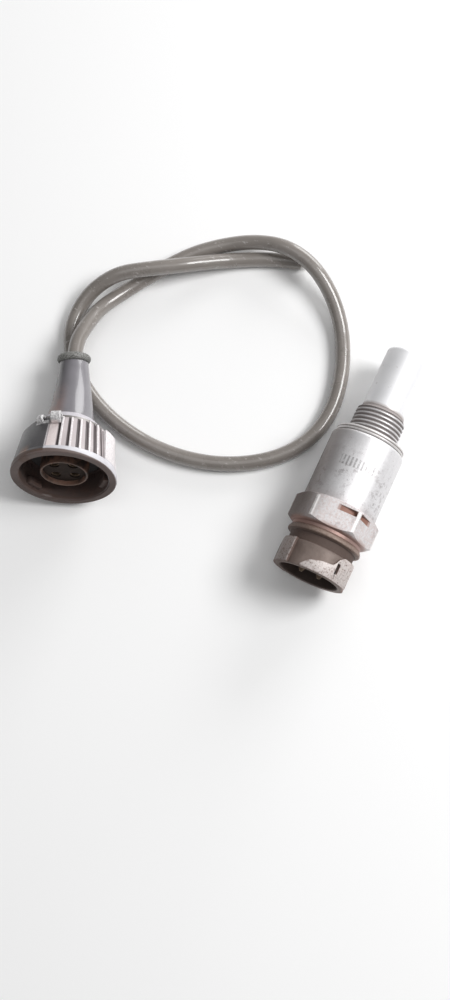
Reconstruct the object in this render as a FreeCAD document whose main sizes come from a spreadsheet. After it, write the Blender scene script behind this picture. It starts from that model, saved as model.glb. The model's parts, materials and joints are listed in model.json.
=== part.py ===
"""Screw-in sensor probe with a bayonet connector, and its separate lead with a coupling ring.

Row frame: +Z up, the table is z = 0, the sensor lies along +Y with its probe tip at the +Y end,
and the origin is under the middle of the sensor. Each assembly is drawn about its own local Z axis:
the sensor from the rear face of its hexagon towards the tip, the plug from its mouth towards the boot.
"""
import FreeCAD, Part
import math
import os

import Sketcher

Vector = FreeCAD.Vector
Rotation = FreeCAD.Rotation
Placement = FreeCAD.Placement

# Driving dimensions in millimetres and degrees. Every feature below is bound to these cells.
SIZES = {
    # sensor housing: hexagon, barrel and thread, turned from one bar
    "hex_across": 27.0,
    "hex_length": 10.4,
    "hex_chamfer": 1.3,
    "barrel_radius": 13.2,
    "barrel_end": 35.3,
    "shoulder_round": 1.3,
    "neck_radius": 12.6,
    "neck_length": 1.3,
    "thread_radius": 9.0,
    "thread_root": 8.08,
    "thread_pitch": 1.5,
    "crest_flat": 0.3,
    "thread_start": 38.1,
    "thread_turns": 6,
    "undercut_radius": 7.95,
    "nose_end": 47.6,
    "shell_bore": 10.7,
    "shell_bore_depth": 6.4,
    "board_bore": 9.2,
    "board_bore_end": 32.0,
    "nose_bore": 6.65,
    "seal_slot_width": 1.9,
    "seal_slot_low": 11.7,
    "seal_slot_high": 15.1,
    "seal_slot_place": 7.85,
    "seal_notch_width": 0.7,
    "seal_notch_length": 3.4,
    "seal_notch_place": 9.4,
    # probe tube
    "probe_radius": 7.75,
    "probe_wall": 0.8,
    "probe_end": 71.3,
    "probe_round": 1.6,
    "stem_radius": 6.6,
    "stem_start": 36.0,
    "gasket_radius": 12.5,
    "gasket_hole": 9.15,
    "gasket_length": 2.2,
    # connector shell and what is in it
    "shell_end": 15.7,
    "shell_radius": 12.15,
    "shell_inside": 10.4,
    "lug_radius": 13.05,
    "lug_start": 6.9,
    "ramp_sweep": 85.0,
    "ramp_height": 4.1,
    "land_sweep": 40.0,
    "lug_count": 3,
    "flange_radius": 13.3,
    "flange_start": 3.2,
    "groove_radius": 11.7,
    "spigot_radius": 10.65,
    "spigot_length": 6.0,
    "spigot_inside": 8.4,
    "o_ring_cord": 0.75,
    "o_ring_place": 3.0,
    "insert_face": 8.0,
    "insert_rear": 1.6,
    "pin_radius": 1.15,
    "pin_circle": 4.6,
    "pin_front": 13.2,
    "pin_tail": 5.6,
    "pin_count": 4,
    "clearance": 0.05,
    # electronics in the barrel and the probe
    "board_width": 14.0,
    "board_thickness": 1.2,
    "board_start": 8.2,
    "board_length": 22.0,
    "holder_radius": 5.7,
    "holder_start": 33.0,
    "holder_end": 69.0,
    "magnet_radius": 2.9,
    "magnet_length": 5.0,
    "chip_width": 5.0,
    "chip_height": 4.2,
    "chip_thickness": 1.1,
    # coupling ring
    "ring_radius": 18.2,
    "rim_length": 2.9,
    "ring_front": 16.8,
    "ring_back": 14.9,
    "ring_length": 15.8,
    "ring_mouth": 15.3,
    "ring_step": 9.6,
    "ring_throat": 13.8,
    "ring_web": 12.1,
    "ring_hub": 12.65,
    "rib_width": 0.9,
    "rib_front": 17.8,
    "rib_back": 16.1,
    "rib_pitch": 11.25,
    "grip_end": 14.4,
    "block_sweep": 24.0,
    "block_back": 16.6,
    "foot_block_back": 17.1,
    "shield_sweep": 65.0,
    "shield_back": 15.8,
    "catch_inside": 13.5,
    "catch_sweep": 24.0,
    "catch_start": 1.6,
    "catch_length": 2.6,
    "eye_radius": 2.05,
    "eye_hole": 0.95,
    "eye_length": 3.4,
    # plug body and its contents
    "plug_front": 1.8,
    "plug_tube": 8.3,
    "plug_tube_inside": 7.4,
    "plug_flange": 13.3,
    "plug_flange_start": 10.3,
    "plug_hub": 12.35,
    "plug_hub_end": 18.0,
    "plug_lip": 10.4,
    "plug_lip_end": 20.7,
    "plug_tail": 6.2,
    "plug_tail_end": 29.0,
    "plug_tail_inside": 5.6,
    "clip_start": 16.1,
    "clip_length": 1.1,
    "clip_radius": 13.5,
    "clip_seat": 11.5,
    "clip_gap": 26.0,
    "seal_radius": 12.9,
    "seal_hole": 8.5,
    "seal_length": 1.4,
    "socket_face": 3.4,
    "socket_rear": 20.0,
    "contact_radius": 1.75,
    "contact_hole": 1.25,
    "grommet_end": 25.0,
    "core_radius": 0.7,
    # boot, cable and how the lead lies
    "boot_foot": 8.3,
    "boot_tip": 5.0,
    "boot_straight": 24.0,
    "boot_end": 45.2,
    "boot_bend_x": 0.79,
    "boot_bend_y": 3.03,
    "bead_radius": 1.45,
    "bead_circle": 4.45,
    "cable_radius": 2.7,
    "cable_start": 41.8,
    "core_stub": 3.0,
    "plug_turn": 22.0,
    "plug_tilt": 15.0,
}

# The cable's route in the row frame: out of the boot, round the open loop, back under the boot,
# over its own first strand and in under it again, where the cut end lies.
CABLE_ROUTE = [
    (-105.0, -11.2, 11.5),
    (-109.4, -2.0, 11.6),
    (-109.4, 7.8, 9.2),
    (-108.6, 16.8, 5.6),
    (-105.0, 24.8, 3.4),
    (-100.4, 33.0, 2.7),
    (-94.6, 41.8, 2.7),
    (-88.0, 50.6, 2.7),
    (-79.4, 57.8, 3.4),
    (-68.8, 63.0, 6.4),
    (-57.4, 64.8, 9.7),
    (-46.0, 62.6, 9.7),
    (-36.0, 57.0, 6.4),
    (-27.8, 48.6, 3.4),
    (-22.2, 38.6, 2.7),
    (-18.5, 27.6, 2.7),
    (-17.1, 16.2, 2.7),
    (-19.3, 4.9, 2.7),
    (-25.7, -5.1, 2.7),
    (-35.2, -12.8, 2.7),
    (-46.2, -18.2, 2.7),
    (-58.2, -21.2, 2.7),
    (-70.4, -21.9, 2.7),
    (-82.2, -20.3, 2.7),
    (-92.8, -16.9, 2.7),
    (-102.6, -11.4, 2.7),
    (-110.6, -3.8, 2.7),
    (-115.4, 5.0, 2.7),
    (-116.4, 14.2, 3.2),
    (-114.0, 22.6, 5.8),
    (-107.8, 30.0, 9.4),
    (-99.2, 35.2, 10.4),
    (-89.8, 41.4, 9.4),
    (-80.6, 48.8, 6.0),
    (-70.6, 55.8, 3.0),
    (-60.4, 61.0, 2.7),
    (-50.4, 64.0, 2.7),
]
PLUG_MOUTH = Vector(-89.1, -48.9, 20.3)

doc = FreeCAD.newDocument("SensorProbe")
sheet = doc.addObject("Spreadsheet::Sheet", "dims")
for row_number, (alias, number) in enumerate(SIZES.items(), start=1):
    sheet.set(f"A{row_number}", alias)
    sheet.set(f"B{row_number}", str(number))
    sheet.setAlias(f"B{row_number}", alias)
doc.recompute()


class Size:
    """A length worked out from the sheet: its value now and the expression that keeps it bound."""

    def __init__(self, value, text):
        self.value = value
        self.text = text

    def joined(self, sign, other, value):
        text = other.text if isinstance(other, Size) else repr(other)
        return Size(value, f"({self.text} {sign} {text})")

    def __add__(self, other):
        return self.joined("+", other, self.value + number_of(other))

    def __sub__(self, other):
        return self.joined("-", other, self.value - number_of(other))

    def __mul__(self, other):
        return self.joined("*", other, self.value * number_of(other))

    def __truediv__(self, other):
        return self.joined("/", other, self.value / number_of(other))

    def __neg__(self):
        return Size(-self.value, f"(-1 * {self.text})")


def number_of(size):
    return size.value if isinstance(size, Size) else float(size)


def dim(alias):
    return Size(float(sheet.get(alias)), f"dims.{alias}")


def bind(feature, prop, size):
    """Sets a property, and binds it to the sheet when the size comes from there."""
    setattr(feature, prop, number_of(size))
    if isinstance(size, Size):
        feature.setExpression(prop, size.text)


# How each assembly is placed: the sensor's hexagon rests on a flat, and the plug leans back on its boot.
SENSOR = Placement(Vector(0, -27.8, dim("hex_across").value / 2), Rotation(Vector(1, 0, 0), -90))
PLUG = Placement(
    PLUG_MOUTH,
    Rotation(Vector(0, 0, 1), dim("plug_turn").value) * Rotation(Vector(1, 0, 0), -90 - dim("plug_tilt").value),
)
nodes = []


def keep(feature, label, placement):
    """Names a finished sub-part and puts it where it belongs."""
    feature.Label = label
    feature.Placement = placement * feature.Placement
    nodes.append(feature)
    return feature


def origin_plane(body, role):
    return [item for item in body.Origin.OriginFeatures if item.Role == role][0]


def draw_outline(sketch, corners):
    """Draws a closed outline of straight sides, each corner held by its two distances from the origin."""
    points = [Vector(number_of(across), number_of(along), 0) for across, along in corners]
    count = len(points)
    for index in range(count):
        sketch.addGeometry(Part.LineSegment(points[index], points[(index + 1) % count]))
    for index in range(count):
        sketch.addConstraint(Sketcher.Constraint("Coincident", index, 2, (index + 1) % count, 1))
    for index, pair in enumerate(corners):
        for kind, line_axis, size in (("DistanceX", -2, pair[0]), ("DistanceY", -1, pair[1])):
            if abs(number_of(size)) < 1e-9:
                sketch.addConstraint(Sketcher.Constraint("PointOnObject", index, 1, line_axis))
                continue
            held = sketch.addConstraint(Sketcher.Constraint(kind, -1, 1, index, 1, number_of(size)))
            if isinstance(size, Size):
                sketch.setExpression(f"Constraints[{held}]", size.text)


def outline_sketch(body, name, role, corners):
    sketch = body.newObject("Sketcher::SketchObject", name)
    sketch.AttachmentSupport = [(origin_plane(body, role), "")]
    sketch.MapMode = "FlatFace"
    draw_outline(sketch, corners)
    return sketch


def turned(body, name, corners, kind="PartDesign::Revolution"):
    """Spins an outline of (radius, along) corners about the body's Z axis, to add or to cut."""
    sketch = outline_sketch(body, f"{name}_outline", "XZ_Plane", corners)
    turn = body.newObject(kind, name)
    turn.Profile = sketch
    turn.ReferenceAxis = (sketch, ["V_Axis"])
    turn.Angle = 360
    return turn


def turned_piece(label, corners, placement):
    body = doc.addObject("PartDesign::Body", label)
    turned(body, f"{label}_turning", corners)
    return keep(body, label, placement)


def round_rim(body, name, radius, height, size):
    """Fillets the circular edge of the given radius at the given height."""
    doc.recompute()
    base = body.Tip
    names = []
    for number, edge in enumerate(base.Shape.Edges, start=1):
        curve = edge.Curve
        if isinstance(curve, Part.Circle) and abs(curve.Radius - radius.value) < 0.01:
            if abs(curve.Center.z - height.value) < 0.01:
                names.append(f"Edge{number}")
    fillet = body.newObject("PartDesign::Fillet", name)
    fillet.Base = (base, names)
    bind(fillet, "Radius", size)


def cylinder(name, radius, length, start=0.0, around=0.0, angle=0.0, sweep=360.0):
    """A plain rod or sector about Z, moved out to a circle of radius around at an angle."""
    rod = doc.addObject("Part::Cylinder", name)
    bind(rod, "Radius", radius)
    bind(rod, "Height", length)
    bind(rod, "Angle", sweep)
    place = Vector(number_of(around), 0, number_of(start))
    turn = Rotation(Vector(0, 0, 1), angle)
    rod.Placement = Placement(turn.multVec(place), turn)
    return rod


def cut(name, base, tool):
    feature = doc.addObject("Part::Cut", name)
    feature.Base = base
    feature.Tool = tool
    return feature


def fused(name, shapes):
    feature = doc.addObject("Part::MultiFuse", name)
    feature.Shapes = shapes
    return feature


def group(name, shapes):
    feature = doc.addObject("Part::Compound", name)
    feature.Links = shapes
    return feature


def tube(name, outer, inner, start, length, angle=0.0, sweep=360.0):
    """A pipe, or a curved block of it, between two radii."""
    solid = cylinder(f"{name}_solid", outer, length, start, angle=angle, sweep=sweep)
    hole = cylinder(f"{name}_hole", inner, length, start)
    return cut(name, solid, hole)


def block(name, width, depth, height, centre):
    """A box centred on a point."""
    box = doc.addObject("Part::Box", name)
    bind(box, "Length", width)
    bind(box, "Width", depth)
    bind(box, "Height", height)
    corner = Vector(number_of(width) / 2, number_of(depth) / 2, number_of(height) / 2)
    box.Placement = Placement(Vector(centre) - corner, Rotation())
    return box


def rod_between(name, radius, first, last):
    """A round rod from one point to another."""
    rod = doc.addObject("Part::Cylinder", name)
    bind(rod, "Radius", radius)
    rod.Height = (last - first).Length
    rod.Placement = Placement(first, Rotation(Vector(0, 0, 1), last - first))
    return rod


def quarter_angles(count=4):
    return [45 + 360 / count * index for index in range(count)]


def on_circle(radius, angle, height):
    turn = math.radians(angle)
    return Vector(radius * math.cos(turn), radius * math.sin(turn), height)


# ---------------------------------------------------------------- sensor housing
def thread_corners():
    """The crests and roots of the thread, up the nose from its undercut."""
    corners = []
    flank = (dim("thread_pitch") - dim("crest_flat") * 2) / 2
    for turn_number in range(SIZES["thread_turns"]):
        base = dim("thread_start") + dim("thread_pitch") * turn_number
        corners += [
            (dim("thread_root"), base),
            (dim("thread_radius"), base + flank),
            (dim("thread_radius"), base + flank + dim("crest_flat")),
            (dim("thread_root"), base + flank * 2 + dim("crest_flat")),
        ]
    return corners


def build_housing():
    half = dim("hex_across") / 2
    corner = dim("hex_across") / math.sqrt(3)
    nose_start = dim("barrel_end")
    body = doc.addObject("PartDesign::Body", "housing_turning")
    hexagon = [(corner, 0), (corner / 2, half), (-corner / 2, half)]
    hexagon += [(-corner, 0), (-corner / 2, -half), (corner / 2, -half)]
    sketch = outline_sketch(body, "hexagon_outline", "XY_Plane", hexagon)
    pad = body.newObject("PartDesign::Pad", "hexagon")
    pad.Profile = sketch
    bind(pad, "Length", dim("hex_length"))
    outside = [
        (0, -dim("neck_length")),
        (dim("neck_radius"), -dim("neck_length")),
        (dim("neck_radius"), dim("hex_chamfer")),
        (dim("barrel_radius"), dim("hex_chamfer")),
        (dim("barrel_radius"), nose_start),
        (dim("undercut_radius"), nose_start),
        (dim("undercut_radius"), dim("thread_start") - 0.4),
    ]
    outside += thread_corners()
    outside += [(dim("undercut_radius"), dim("nose_end") - 0.3), (dim("undercut_radius"), dim("nose_end"))]
    outside += [(0, dim("nose_end"))]
    turned(body, "barrel_and_nose", outside)
    slope = dim("hex_chamfer")
    reach = corner + 1
    for name, near, far in (("rear_chamfer", 0, slope), ("front_chamfer", dim("hex_length"), None)):
        away = far if far is not None else near - slope
        edge = [(half, near), (reach, near), (reach, away + (away - near) * 0.35)]
        turned(body, name, edge, "PartDesign::Groove")
    inside = [
        (0, -dim("neck_length")),
        (dim("shell_bore"), -dim("neck_length")),
        (dim("shell_bore"), dim("shell_bore_depth")),
        (dim("board_bore"), dim("shell_bore_depth")),
        (dim("board_bore"), dim("board_bore_end")),
        (dim("nose_bore"), dim("board_bore_end") + 2.5),
        (dim("nose_bore"), dim("nose_end")),
        (0, dim("nose_end")),
    ]
    turned(body, "bore", inside, "PartDesign::Groove")
    round_rim(body, "shoulder", dim("barrel_radius"), nose_start, dim("shoulder_round"))
    slot = block(
        "seal_slot",
        dim("seal_slot_high") - dim("seal_slot_low"),
        dim("hex_across"),
        dim("seal_slot_width"),
        ((SIZES["seal_slot_high"] + SIZES["seal_slot_low"]) / 2, 0, SIZES["seal_slot_place"]),
    )
    notch = block(
        "seal_notch", 2.4, dim("seal_notch_length"), dim("seal_notch_width"), (15.6, 0, SIZES["seal_notch_place"])
    )
    openings = group("seal_openings", [slot, notch])
    openings.Placement = Placement(Vector(), Rotation(Vector(0, 0, 1), -60))
    keep(cut("housing_with_seal_openings", body, openings), "sensor_housing", SENSOR)


def build_probe():
    wall = dim("probe_wall")
    inside = dim("probe_radius") - wall
    stem_inside = dim("stem_radius") - wall
    corners = [
        (dim("stem_radius"), dim("stem_start")),
        (dim("stem_radius"), dim("nose_end")),
        (dim("probe_radius"), dim("nose_end")),
        (dim("probe_radius"), dim("probe_end")),
        (0, dim("probe_end")),
        (0, dim("probe_end") - wall),
        (inside, dim("probe_end") - wall),
        (inside, dim("nose_end") + wall),
        (stem_inside, dim("nose_end") + wall),
        (stem_inside, dim("stem_start")),
    ]
    tube_body = turned_piece("probe_tube", corners, SENSOR)
    round_rim(tube_body, "tip_round", dim("probe_radius"), dim("probe_end"), dim("probe_round"))
    start = dim("barrel_end")
    end = start + dim("gasket_length")
    hole = dim("gasket_hole")
    edge = dim("gasket_radius")
    turned_piece("seat_gasket", [(hole, start), (edge, start), (edge, end), (hole, end)], SENSOR)


# ---------------------------------------------------------------- sensor connector
def build_shell():
    body = doc.addObject("PartDesign::Body", "shell_turning")
    groove_low = dim("o_ring_place") - dim("o_ring_cord") - 0.1
    groove_high = dim("o_ring_place") + dim("o_ring_cord") + 0.1
    groove_floor = dim("shell_bore") - dim("o_ring_cord") * 2
    corners = [
        (dim("shell_inside"), -dim("shell_end")),
        (dim("shell_radius"), -dim("shell_end")),
        (dim("shell_radius"), -dim("lug_start")),
        (dim("groove_radius"), -dim("lug_start")),
        (dim("groove_radius"), -dim("flange_start")),
        (dim("flange_radius"), -dim("flange_start")),
        (dim("flange_radius"), -dim("neck_length")),
        (dim("spigot_radius"), -dim("neck_length")),
        (dim("spigot_radius"), groove_low),
        (groove_floor, groove_low),
        (groove_floor, groove_high),
        (dim("spigot_radius"), groove_high),
        (dim("spigot_radius"), dim("spigot_length")),
        (dim("spigot_inside"), dim("spigot_length")),
        (dim("spigot_inside"), -dim("insert_rear")),
        (dim("shell_inside"), -dim("insert_rear")),
    ]
    turned(body, "shell", corners)
    lugs = [body]
    inner = dim("shell_inside") + 0.6
    mouth = -dim("shell_end")
    full = dim("shell_end") - dim("lug_start")
    for number in range(SIZES["lug_count"]):
        last = 360 / SIZES["lug_count"] * number - 11
        for part, height, sweep in (("ramp", dim("ramp_height"), "ramp_sweep"), ("land", full, "land_sweep")):
            first = last - SIZES[sweep]
            lugs.append(tube(f"{part}_{number}", dim("lug_radius"), inner, mouth, height, first, dim(sweep)))
    keep(fused("lugged_shell", lugs), "connector_shell", SENSOR)
    ring = doc.addObject("Part::Torus", "shell_ring")
    bind(ring, "Radius1", dim("shell_bore") - dim("o_ring_cord") - dim("clearance"))
    bind(ring, "Radius2", dim("o_ring_cord") - dim("clearance"))
    ring.Placement.Base = Vector(0, 0, dim("o_ring_place").value)
    keep(ring, "shell_o_ring", SENSOR)


def drilled_disc(label, edge, hole, start, length, circle, placement):
    """A round block with the four contact holes through it."""
    disc = cylinder(f"{label}_disc", edge, length, start)
    holes = []
    for number, angle in enumerate(quarter_angles()):
        holes.append(cylinder(f"{label}_hole_{number}", hole, length, start, circle, angle))
    return keep(cut(f"{label}_drilled", disc, fused(f"{label}_holes", holes)), label, placement)


def build_contacts():
    circle = dim("pin_circle")
    fit = dim("pin_radius") + dim("clearance")
    length = dim("insert_face") - dim("insert_rear")
    drilled_disc(
        "pin_insert", dim("shell_inside") - dim("clearance"), fit, -dim("insert_face"), length, circle, SENSOR
    )
    potting = dim("insert_rear") + 3.4
    drilled_disc(
        "potting_disc", dim("spigot_inside") - dim("clearance"), fit, -dim("insert_rear"), potting, circle, SENSOR
    )
    seal = tube("face_seal", dim("shell_inside") - 0.2, dim("plug_tube") + 0.3, -dim("insert_face") - 1.2, 1.2)
    keep(seal, "interface_seal", SENSOR)
    pins = []
    for number, angle in enumerate(quarter_angles()):
        length = dim("pin_front") + dim("pin_tail")
        shank = cylinder(f"pin_shank_{number}", dim("pin_radius"), length, -dim("pin_front"), circle, angle)
        nose = doc.addObject("Part::Cone", f"pin_nose_{number}")
        bind(nose, "Radius1", dim("pin_radius") * 0.45)
        bind(nose, "Radius2", dim("pin_radius"))
        bind(nose, "Height", dim("pin_radius"))
        point = number_of(dim("pin_front") + dim("pin_radius"))
        nose.Placement = Placement(on_circle(circle.value, angle, -point), Rotation())
        pins.append(fused(f"pin_{number}", [shank, nose]))
    keep(group("pins", pins), "contact_pins", SENSOR)


# ---------------------------------------------------------------- electronics
def build_electronics():
    thick = dim("board_thickness")
    start = dim("board_start").value
    middle = start + dim("board_length").value / 2
    board = block("board", dim("board_width"), thick, dim("board_length"), (0, 0, middle))
    keep(board, "circuit_board", SENSOR)
    face = thick.value / 2
    parts = [
        block("signal_chip", 6.2, 1.6, 5.0, (0, face + 0.8, middle + 1)),
        block("power_chip", 4.6, 1.5, 3.4, (-3.2, -face - 0.75, middle + 4)),
        block("film_capacitor", 3.2, 2.2, 4.6, (3.6, -face - 1.1, middle - 3)),
    ]
    for number in range(4):
        parts.append(block(f"resistor_{number}", 1.6, 0.6, 0.9, (4.8, face + 0.3, middle - 6 + 2.4 * number)))
    coil = cylinder("surge_coil", 1.9, 4.6)
    coil.Placement.Base = Vector(-4.4, face + 1.9, middle - 6.8)
    parts.append(coil)
    keep(group("board_components", parts), "board_parts", SENSOR)
    leads = []
    for number, angle in enumerate(quarter_angles()):
        tail = on_circle(dim("pin_circle").value, angle, dim("pin_tail").value)
        side = 1 if tail.y > 0 else -1
        pad = Vector(tail.x, side * (face + 0.45), start + 2.2)
        leads.append(rod_between(f"lead_{number}", 0.45, tail, pad))
    keep(group("pin_lead_wires", leads), "pin_leads", SENSOR)
    holder = cylinder("holder_rod", dim("holder_radius"), dim("holder_end") - dim("holder_start"), dim("holder_start"))
    magnet_start = dim("holder_end") - dim("magnet_length")
    pocket = cylinder("magnet_pocket", dim("magnet_radius") + 0.05, dim("magnet_length"), magnet_start)
    slot_height = number_of(dim("holder_end") - dim("holder_start"))
    slot_middle = dim("holder_start").value + slot_height / 2
    slot = block("lead_slot", 4.4, 1.4, slot_height, (0, -5.2, slot_middle))
    keep(cut("holder", holder, fused("holder_cuts", [pocket, slot])), "chip_holder", SENSOR)
    keep(cylinder("magnet", dim("magnet_radius"), dim("magnet_length"), magnet_start), "bias_magnet", SENSOR)
    chip_place = (0, 0, dim("holder_end").value + dim("chip_thickness").value / 2)
    chip = block("chip", dim("chip_width"), dim("chip_height"), dim("chip_thickness"), chip_place)
    keep(chip, "sensing_chip", SENSOR)
    strips = []
    low = start + dim("board_length").value
    high = dim("holder_end").value
    for offset in (-1.5, 0.0, 1.5):
        strip = block(f"strip_{offset}", 0.6, 0.3, high + 0.5 - low, (offset, -4.85, (low + high + 0.5) / 2))
        foot = block(f"foot_{offset}", 0.6, 4.85 - 2.1, 0.3, (offset, -(4.85 + 2.1) / 2, high + 0.35))
        root = block(f"root_{offset}", 0.6, 5.0, 0.3, (offset, -2.5, low + 0.15))
        strips.append(fused(f"lead_strip_{offset}", [strip, foot, root]))
    keep(group("lead_strips", strips), "chip_leads", SENSOR)


# ---------------------------------------------------------------- coupling ring
def rib(name, angle):
    """One grip rib: a bar across the cap's slope, lower at its back than at its front."""
    wedge = doc.addObject("Part::Wedge", name)
    wedge.Xmin, wedge.Xmax = SIZES["rib_front"] - 1.9, SIZES["rib_front"]
    wedge.X2min, wedge.X2max = SIZES["rib_back"] - 1.7, SIZES["rib_back"]
    wedge.Ymin, wedge.Ymax = SIZES["rim_length"] - 0.5, SIZES["ring_length"] - 0.4
    wedge.Zmin, wedge.Zmax = -SIZES["rib_width"] / 2, SIZES["rib_width"] / 2
    wedge.Z2min, wedge.Z2max = wedge.Zmin, wedge.Zmax
    for prop, text in (
        ("Xmax", "dims.rib_front"),
        ("X2max", "dims.rib_back"),
        ("Zmin", "-0.5 * dims.rib_width"),
        ("Zmax", "0.5 * dims.rib_width"),
    ):
        wedge.setExpression(prop, text)
    wedge.Placement = Placement(Vector(), Rotation(Vector(0, 0, 1), angle) * Rotation(Vector(1, 0, 0), 90))
    return wedge


def sloped_block(name, front, back, angle, sweep):
    """A sector of a cone that covers the cap's slope between two radii."""
    start = dim("rim_length")
    length = dim("grip_end") - start
    cone = doc.addObject("Part::Cone", f"{name}_cone")
    bind(cone, "Radius1", dim(front))
    bind(cone, "Radius2", dim(back))
    bind(cone, "Height", length)
    bind(cone, "Angle", dim(sweep))
    cone.Placement = Placement(Vector(0, 0, start.value), Rotation(Vector(0, 0, 1), angle))
    return cut(name, cone, cylinder(f"{name}_hole", dim("ring_throat") + 0.6, length, start))


def build_ring():
    body = doc.addObject("PartDesign::Body", "ring_turning")
    corners = [
        (dim("ring_mouth"), 0),
        (dim("ring_radius"), 0),
        (dim("ring_radius"), dim("rim_length")),
        (dim("ring_front"), dim("rim_length")),
        (dim("ring_back"), dim("ring_length")),
        (dim("ring_hub"), dim("ring_length")),
        (dim("ring_hub"), dim("ring_web")),
        (dim("ring_throat"), dim("ring_web")),
        (dim("ring_throat"), dim("ring_step")),
        (dim("ring_mouth"), dim("ring_step")),
    ]
    turned(body, "ring_shell", corners)
    added = [body]
    for number in range(32):
        angle = SIZES["rib_pitch"] * number
        under_block = 80 < angle < 115 or 320 < angle < 356
        under_shield = 182 < angle < 264
        if not under_block and not under_shield:
            added.append(rib(f"rib_{number}", angle))
    # the lower block is what the ring rests on when the lead lies on a table
    for name, back, angle in (("block_right", "block_back", -34.0), ("block_low", "foot_block_back", 86.0)):
        added.append(sloped_block(name, "ring_radius", back, angle, "block_sweep"))
    added.append(sloped_block("shield", "ring_radius", "shield_back", 188.0, "shield_sweep"))
    for number in range(3):
        angle = 120 * number + 10
        name = f"catch_{number}"
        start = dim("catch_start")
        outer = dim("ring_mouth") + 0.3
        added.append(tube(name, outer, dim("catch_inside"), start, dim("catch_length"), angle, dim("catch_sweep")))
    shell = fused("ring_with_grips", added)
    for number, (angle, reach, size) in enumerate(((262.0, 16.6, 1.0), (242.0, 16.2, 0.72))):
        sleeve = doc.addObject("Part::Cylinder", f"eye_{number}")
        bind(sleeve, "Radius", dim("eye_radius") * size)
        bind(sleeve, "Height", dim("eye_length") * size)
        bore = doc.addObject("Part::Cylinder", f"eye_bore_{number}")
        bind(bore, "Radius", dim("eye_hole") * size)
        bore.Height = 8
        centre = on_circle(reach, angle, 14.5)
        lie = Rotation(Vector(0, 0, 1), angle) * Rotation(Vector(1, 0, 0), 90)
        half = number_of(dim("eye_length") * size) / 2
        sleeve.Placement = Placement(centre - lie.multVec(Vector(0, 0, half)), lie)
        bore.Placement = Placement(centre - lie.multVec(Vector(0, 0, 4)), lie)
        shell = cut(f"ring_with_eye_{number}", fused(f"ring_sleeve_{number}", [shell, sleeve]), bore)
    keep(shell, "coupling_ring", PLUG)


# ---------------------------------------------------------------- plug body and contents
def build_plug():
    seat_low = dim("clip_start")
    seat_high = dim("clip_start") + dim("clip_length") + dim("clearance")
    corners = [
        (dim("plug_tube_inside"), dim("plug_front")),
        (dim("plug_tube"), dim("plug_front")),
        (dim("plug_tube"), dim("plug_flange_start")),
        (dim("plug_flange"), dim("plug_flange_start")),
        (dim("plug_flange"), dim("ring_web") - 0.25),
        (dim("plug_hub"), dim("ring_web") - 0.25),
        (dim("plug_hub"), seat_low),
        (dim("clip_seat"), seat_low),
        (dim("clip_seat"), seat_high),
        (dim("plug_hub"), seat_high),
        (dim("plug_hub"), dim("plug_hub_end")),
        (dim("plug_lip"), dim("plug_hub_end")),
        (dim("plug_lip"), dim("plug_lip_end")),
        (dim("plug_tail"), dim("plug_lip_end")),
        (dim("plug_tail"), dim("plug_tail_end")),
        (dim("plug_tail_inside"), dim("plug_tail_end")),
        (dim("plug_tail_inside"), dim("socket_rear") + 0.1),
        (dim("plug_tube_inside"), dim("socket_rear") + 0.1),
    ]
    turned_piece("plug_body", corners, PLUG)
    clip = tube("clip_ring", dim("clip_radius"), dim("clip_seat") + 0.05, seat_low, dim("clip_length"))
    gap = cylinder("clip_opening", dim("clip_radius") + 1, dim("clip_length"), seat_low, sweep=dim("clip_gap"))
    keep(cut("open_clip", clip, gap), "ring_clip", PLUG)
    seal_start = dim("plug_flange_start") - dim("seal_length")
    keep(tube("seal_ring", dim("seal_radius"), dim("seal_hole"), seal_start, dim("seal_length")), "plug_seal", PLUG)
    fit = dim("contact_radius") + dim("clearance")
    circle = dim("pin_circle")
    depth = dim("socket_rear") - dim("socket_face")
    drilled_disc(
        "socket_insert", dim("plug_tube_inside") - dim("clearance"), fit, dim("socket_face"), depth, circle, PLUG
    )
    contacts = []
    cores = []
    hole_depth = depth - 4
    _, cable_lie, cable_way = boot_line(SIZES["boot_end"])
    cable_face = boot_line(SIZES["boot_end"])[0] - cable_way * 3.54
    start = dim("socket_face") + 0.6
    for number, angle in enumerate(quarter_angles()):
        barrel = cylinder(f"contact_{number}", dim("contact_radius"), depth - 0.6, start, circle, angle)
        mouth = cylinder(f"contact_mouth_{number}", dim("contact_hole"), hole_depth, start, circle, angle)
        contacts.append(cut(f"contact_socket_{number}", barrel, mouth))
        low = on_circle(circle.value, angle, dim("socket_rear").value)
        knee = on_circle(circle.value, angle, dim("grommet_end").value)
        high = cable_face + cable_lie.multVec(on_circle(1.15, angle, -0.3))
        straight = rod_between(f"core_straight_{number}", dim("core_radius"), low, knee)
        slanted = rod_between(f"core_slanted_{number}", dim("core_radius"), knee, high)
        cores.append(fused(f"core_{number}", [straight, slanted]))
    keep(group("contacts", contacts), "socket_contacts", PLUG)
    keep(group("cores", cores), "cable_cores", PLUG)
    grommet_length = dim("grommet_end") - dim("socket_rear") - 0.2
    edge = dim("plug_tail_inside") - dim("clearance")
    drilled_disc(
        "wire_grommet", edge, dim("core_radius") + 0.05, dim("socket_rear") + 0.2, grommet_length, circle, PLUG
    )


def boot_line(height):
    """The boot's centre line at one height, and the way it runs there: straight at first, then bent by the cable."""
    run = SIZES["boot_end"] - SIZES["boot_straight"]
    past = max(0.0, height - SIZES["boot_straight"]) / run
    bend = Vector(-SIZES["boot_bend_x"], -SIZES["boot_bend_y"], 0)
    along = (bend * (2 * past / run) + Vector(0, 0, 1)).normalize()
    return bend * past ** 2 + Vector(0, 0, height), Rotation(Vector(0, 0, 1), along), along


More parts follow.
